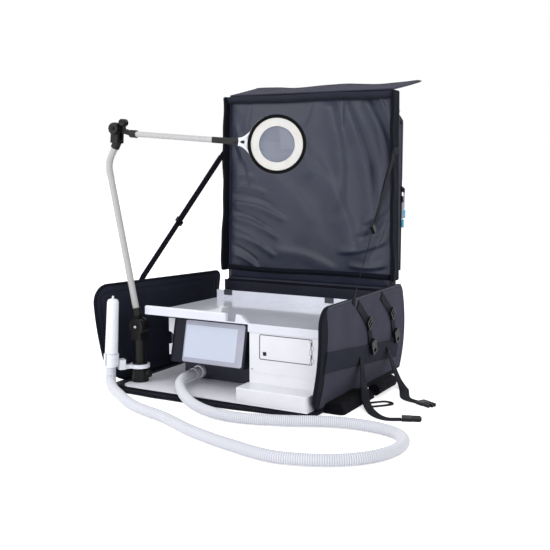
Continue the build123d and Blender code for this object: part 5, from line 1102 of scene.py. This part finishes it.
def stay_route(side, wall_y):
    """Route of a stay from the lid's side to its sewn end outside the wall."""
    top_z = wall_top(wall_y)
    lid_x = side * (lid_half(STAY_Z) + 5.3 + WEB_T / 2)
    wall_x = on_wall(side, wall_y, top_z, 1.6)[0]
    return np.array([
        (lid_x, HINGE_Y + 12.5, STAY_Z + 10), (lid_x, HINGE_Y - 23, STAY_Z),
        (wall_x, wall_y, top_z + 8), on_wall(side, wall_y - 20, top_z - 20, 1.6),
    ])


for side, wall_y, word in ((-1, -83.0, "left"), (1, -70.0, "right")):
    route = stay_route(side, wall_y)
    reach = route[2] - route[1]
    flat = np.array([side, 0, 0])
    line = [*route[:2], *(route[1] + reach * share for share in np.linspace(0, 1, 50)[1:]), route[3]]
    out = [flat] * (len(line) - 2) + [wall_normal(side, wall_y, wall_top(wall_y) - 20)] * 2
    if side > 0:
        # The right stay twists until its edge faces the camera
        edge_on = unit(np.cross(reach, VIEW))
        for k in range(16, len(line) - 1):
            share = min(1.0, (k - 15) / 10, (len(line) - 1 - k) / 2)
            out[k] = flat * (1 - share) + edge_on * share
    stay = strap("stay_webbing_" + word, line, out, STAY_W, WEB_T, exact=True)
    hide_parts("stay_" + word)
    line = [route[1] + reach * share + (side * 2.4, 0, 0) for share in np.linspace(0.03, 0.56, 30)]
    doubled = strap("stay_doubled_" + word, line, [flat] * 30, STAY_W, 1.6, exact=True)
    for piece in (stay, doubled):
        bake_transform(piece)

# Points down a compression strap: shift along the wall, height and gap from the wall
STRAP_STEPS = ((-22.0, 240.0, 1.5), (38.0, 183.0, 2.6), (62.0, 118.0, 4.7))
for middle_y, word in ((-40.0, "front"), (128.0, "rear")):
    line = [on_wall(1, middle_y + shift, z, gap) for shift, z, gap in STRAP_STEPS]
    out = [wall_normal(1, y, z) for x, y, z in line]
    made = strap("compression_strap_" + word, line, out, WEB_W, WEB_T, step=6, life=0.3)
    belongs(made, "root", "webbing", *(["compression_straps"] if word == "front" else []))

line = [on_wall(1, -254 + 486 * share, 129 - 53 * share, 1.4) for share in np.linspace(0, 1, 7)]
out = [wall_normal(1, y, z) for x, y, z in line]
belongs(strap("side_band_cloth", line, out, 50, WEB_T, "band", life=0.1), "root", "webbing", "side_band")

tail_front = [on_wall(1, -38, 97, 3.9), (334, -66, 54), (350, -94, 38), (368, -124, 12)]
tail_front += [(405, -170, 1.4), (447, -199, 1.4), (482, -186, 1.4)]
front_out = [(1, 0, 0), (1, 0, 0.4), (1, 0, 0.9), (0.5, 0, 1)] + [(0, 0, 1)] * 3
tail_rear = [on_wall(1, 148, 90, 3.9), (338, 128, 49), (360, 110, 20)]
tail_rear += [(388, 78, 1.4), (425, -4, 1.4), (470, -28, 1.4)]
rear_out = [(1, 0, 0), (1, 0, 0.4), (1, 0, 1)] + [(0, 0, 1)] * 3
belongs(strap("strap_tail_front", tail_front, front_out, WEB_W, WEB_T), "root", "webbing", "strap_tails")
belongs(strap("strap_tail_rear", tail_rear, rear_out, WEB_W, WEB_T), "root", "webbing")

LOOP_R, LOOP_HALF, LOOP_TURN = 17, 16, math.radians(50)
c, s = math.cos(LOOP_TURN), math.sin(LOOP_TURN)
turn = np.radians(np.linspace(0, 360, 41))
u = LOOP_R * np.cos(turn) + LOOP_HALF * np.clip(4 * np.cos(turn), -1, 1)
v = LOOP_R * np.sin(turn)
loop_line = grid(375.3 + LOOP_HALF * c + u * c - v * s, -88 + u * s + v * c, 1.3)
belongs(strap("belt_loop", loop_line, [(0, 0, 1)] * 41, 12, 2.2, exact=True), "root", "webbing")

# Hip belt: a padded wing and its rolled end

BELT_X0, BELT_X1, BELT_Y0, BELT_Y1 = 298.4, 352, -222, -36
y = BELT_Y0 + (BELT_Y1 - BELT_Y0) * spread(60, 0.5)[None, :]
end = BELT_X1 - corner(y - BELT_Y0, 12)
x = BELT_X0 + (end - BELT_X0) * spread(30, 0.5)[:, None]
edge = least(y - BELT_Y0, BELT_Y1 - y, x - BELT_X0 + 8, end - x)
crown = np.maximum(25.5 * swell(edge, 16) * (0.94 + 0.06 * np.cos(x / 9)) - 0.5, 3.0)
cushion("belt_wing", grid(x, y, crown), grid(x, y, 0.2), "mesh",
        "root", "outer_fabric", "hip_belt", fill=0.7, bulge=0.4)
turn = np.linspace(0, 5.2 * math.pi, 90)
radius = 3.5 + 12.3 * turn / turn[-1]
coil = grid(351.7 + radius * np.cos(turn), 23.5, 19 + radius * np.sin(turn))
out = np.cross(np.gradient(coil, axis=0), (0, 1, 0))
belongs(strap("belt_roll", coil, out, 117, 4.6, "mesh", exact=True), "root", "outer_fabric")

# Lamp: the ribbed sleeve of the upper arm

ARM_FALL = math.radians(4.3)
ARM_START = np.array([-252.0, -221.0, 664.0])
ARM_LENGTH = 246.0 / math.cos(ARM_FALL)
SLEEVE_PITCH = 5.2
steps = np.arange(0, ARM_LENGTH, 0.5)
groove = (0.5 + 0.5 * np.cos(2 * math.pi * steps / SLEEVE_PITCH)) ** 3
groove = groove * (steps > 10) * (steps < ARM_LENGTH - 14)
sleeve_line = ARM_START + np.outer(steps, (math.cos(ARM_FALL), 0, -math.sin(ARM_FALL)))
sleeve = tube("upper_arm_sleeve", sleeve_line, 7.2 - 0.7 * groove, "sleeve", sides=18)
belongs(sleeve, "upper_arm", "white_plastic", "upper_arm")

# Small parts: door seal and screws


def along_y(name, place, stations, paint, flutes=0):
    """Turned piece on an axis along Y; each station is an offset from the place and a radius."""
    sides = 48 if flutes else 24
    turn = np.linspace(0, 2 * math.pi, sides, endpoint=False)
    wave = 1 - 0.07 * (0.5 - 0.5 * np.cos(turn * flutes))
    ring = grid(wave * np.cos(turn), 0, wave * np.sin(turn))
    points = np.vstack([ring * radius + place + np.array([0, offset, 0]) for offset, radius in stations])
    return closed(add_mesh(name, points, ring_faces(len(stations), sides), paint, points[:, [0, 2]]))


door_low, door_high = (np.array(end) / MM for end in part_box("door_panel"))
seal_line = rounded_ring(
    door_low[0] - 1.0, door_high[0] + 1.0, door_low[2] - 1.0, door_high[2] + 1.0, 3, -218.3, steps=5
)
belongs(tube("door_seal", seal_line, 0.9, "gasket", sides=8), "root", "housing_black")

ELBOW = (-302.0, -221.0, 678.0)
SCREWS = (
    ("pillar_screw", (101.0, -218.0, 84.0), 3.2, "root", "steel"),
    ("link_screw", (60.0, -228.0, 637.6), 1.8, "head_link", "lamp"),
    ("knuckle_screw", (-243.0, -239.6, 161.0), 4.0, "lamp", "steel"),
    ("elbow_screw", (-302.0, -241.6, 678.0), 3.0, "lower_arm", "lamp"),
)
for name, place, r, body, metal in SCREWS:
    rings = ((0.4, r), (-0.9, r), (-1.5, 0.8 * r), (-1.5, 0.45 * r), (-0.6, 0.4 * r))
    belongs(along_y(name, place, rings, metal), body, "pin_steel")

# Elbow knob with its fluted edge, and the second pivot on a short neck above the upper arm's foot

knob_rings = ((-13.3, 15.5), (-19.0, 15.5), (-20.6, 14.2), (-20.6, 6.5), (-19.4, 5.5))
belongs(along_y("elbow_knob", ELBOW, knob_rings, "lamp", flutes=12), "lower_arm", "lamp_black")
boss_at = (ELBOW[0] + 20.0, ELBOW[1], ELBOW[2] + 15.0)
boss_rings = ((10, 8.2), (8.5, 10), (-8.5, 10), (-10, 9), (-10, 4.5), (-9, 3.5))
belongs(along_y("elbow_boss", boss_at, boss_rings, "lamp", flutes=10), "upper_arm", "lamp_black")
neck_line = [(-281.5, -221, 671), (-282, -221, 682), (-282, -221, 691)]
belongs(tube("elbow_neck", neck_line, 7.5, "lamp", squash=(1.0, 0.55)), "upper_arm", "lamp_black")

# Y-shaped neck between the head link and the magnifier's rim

lens_low, lens_high = (np.array(end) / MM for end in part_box("lens"))
head_at = (lens_low + lens_high) / 2
up_way = np.array([math.sin(ARM_FALL), 0, math.cos(ARM_FALL)])
across_way = unit(np.array([0.815, 0.572, -0.06]))
NECK_STATIONS = ((-93, 4.5), (-88, 5.4), (-82, 8), (-75, 13), (-69, 19), (-64, 25))
neck = smooth_line([(run, rise, 0) for run, rise in NECK_STATIONS], 3.0)
for way, word in ((1, "upper"), (-1, "lower")):
    prong = head_at + np.outer(neck[:, 0], across_way) + np.outer(neck[:, 1] * way, up_way)
    taper = np.linspace(4.4, 2.2, len(prong))
    piece = tube("head_prong_" + word, prong, taper, "abs", squash=(1.0, 1.2))
    belongs(piece, "head", "white_plastic")
web_run = neck[neck[:, 0] > -88]
rise = np.linspace(-1, 1, 9)[:, None] * web_run[None, :, 1]
web = head_at + web_run[None, :, :1] * across_way + rise[:, :, None] * up_way
web_out = np.cross(across_way, up_way) * 1.6
belongs(pad("head_web", web + web_out, web - web_out, "abs", rim=2), "head", "white_plastic")

# The filter bag behind the door, of pleated fleece

BAG_X0, BAG_X1, BAG_Y0, BAG_Y1, BAG_Z = 134.6, 249.4, -208.4, -71.6, 133.3
x = BAG_X0 + (BAG_X1 - BAG_X0) * spread(54, 0.4)[None, :]
nip = corner(x - BAG_X0, 10) + corner(BAG_X1 - x, 10)
low, high = BAG_Y0 + nip, BAG_Y1 - nip
y = np.clip(BAG_Y0 + (BAG_Y1 - BAG_Y0) * spread(60, 0.4)[:, None], low, high)
edge = 1 + least(y - low, high - y, x - BAG_X0, BAG_X1 - x)
half = 0.8 + 15.2 * swell(edge, 26) * (0.96 + 0.04 * np.cos(y / 3.0))
cushion("filter_bag_fleece", grid(x, y, BAG_Z + half), grid(x, y, BAG_Z - half), "fleece",
        "root", "filter_paper", "filter_bag", fill=0.4)
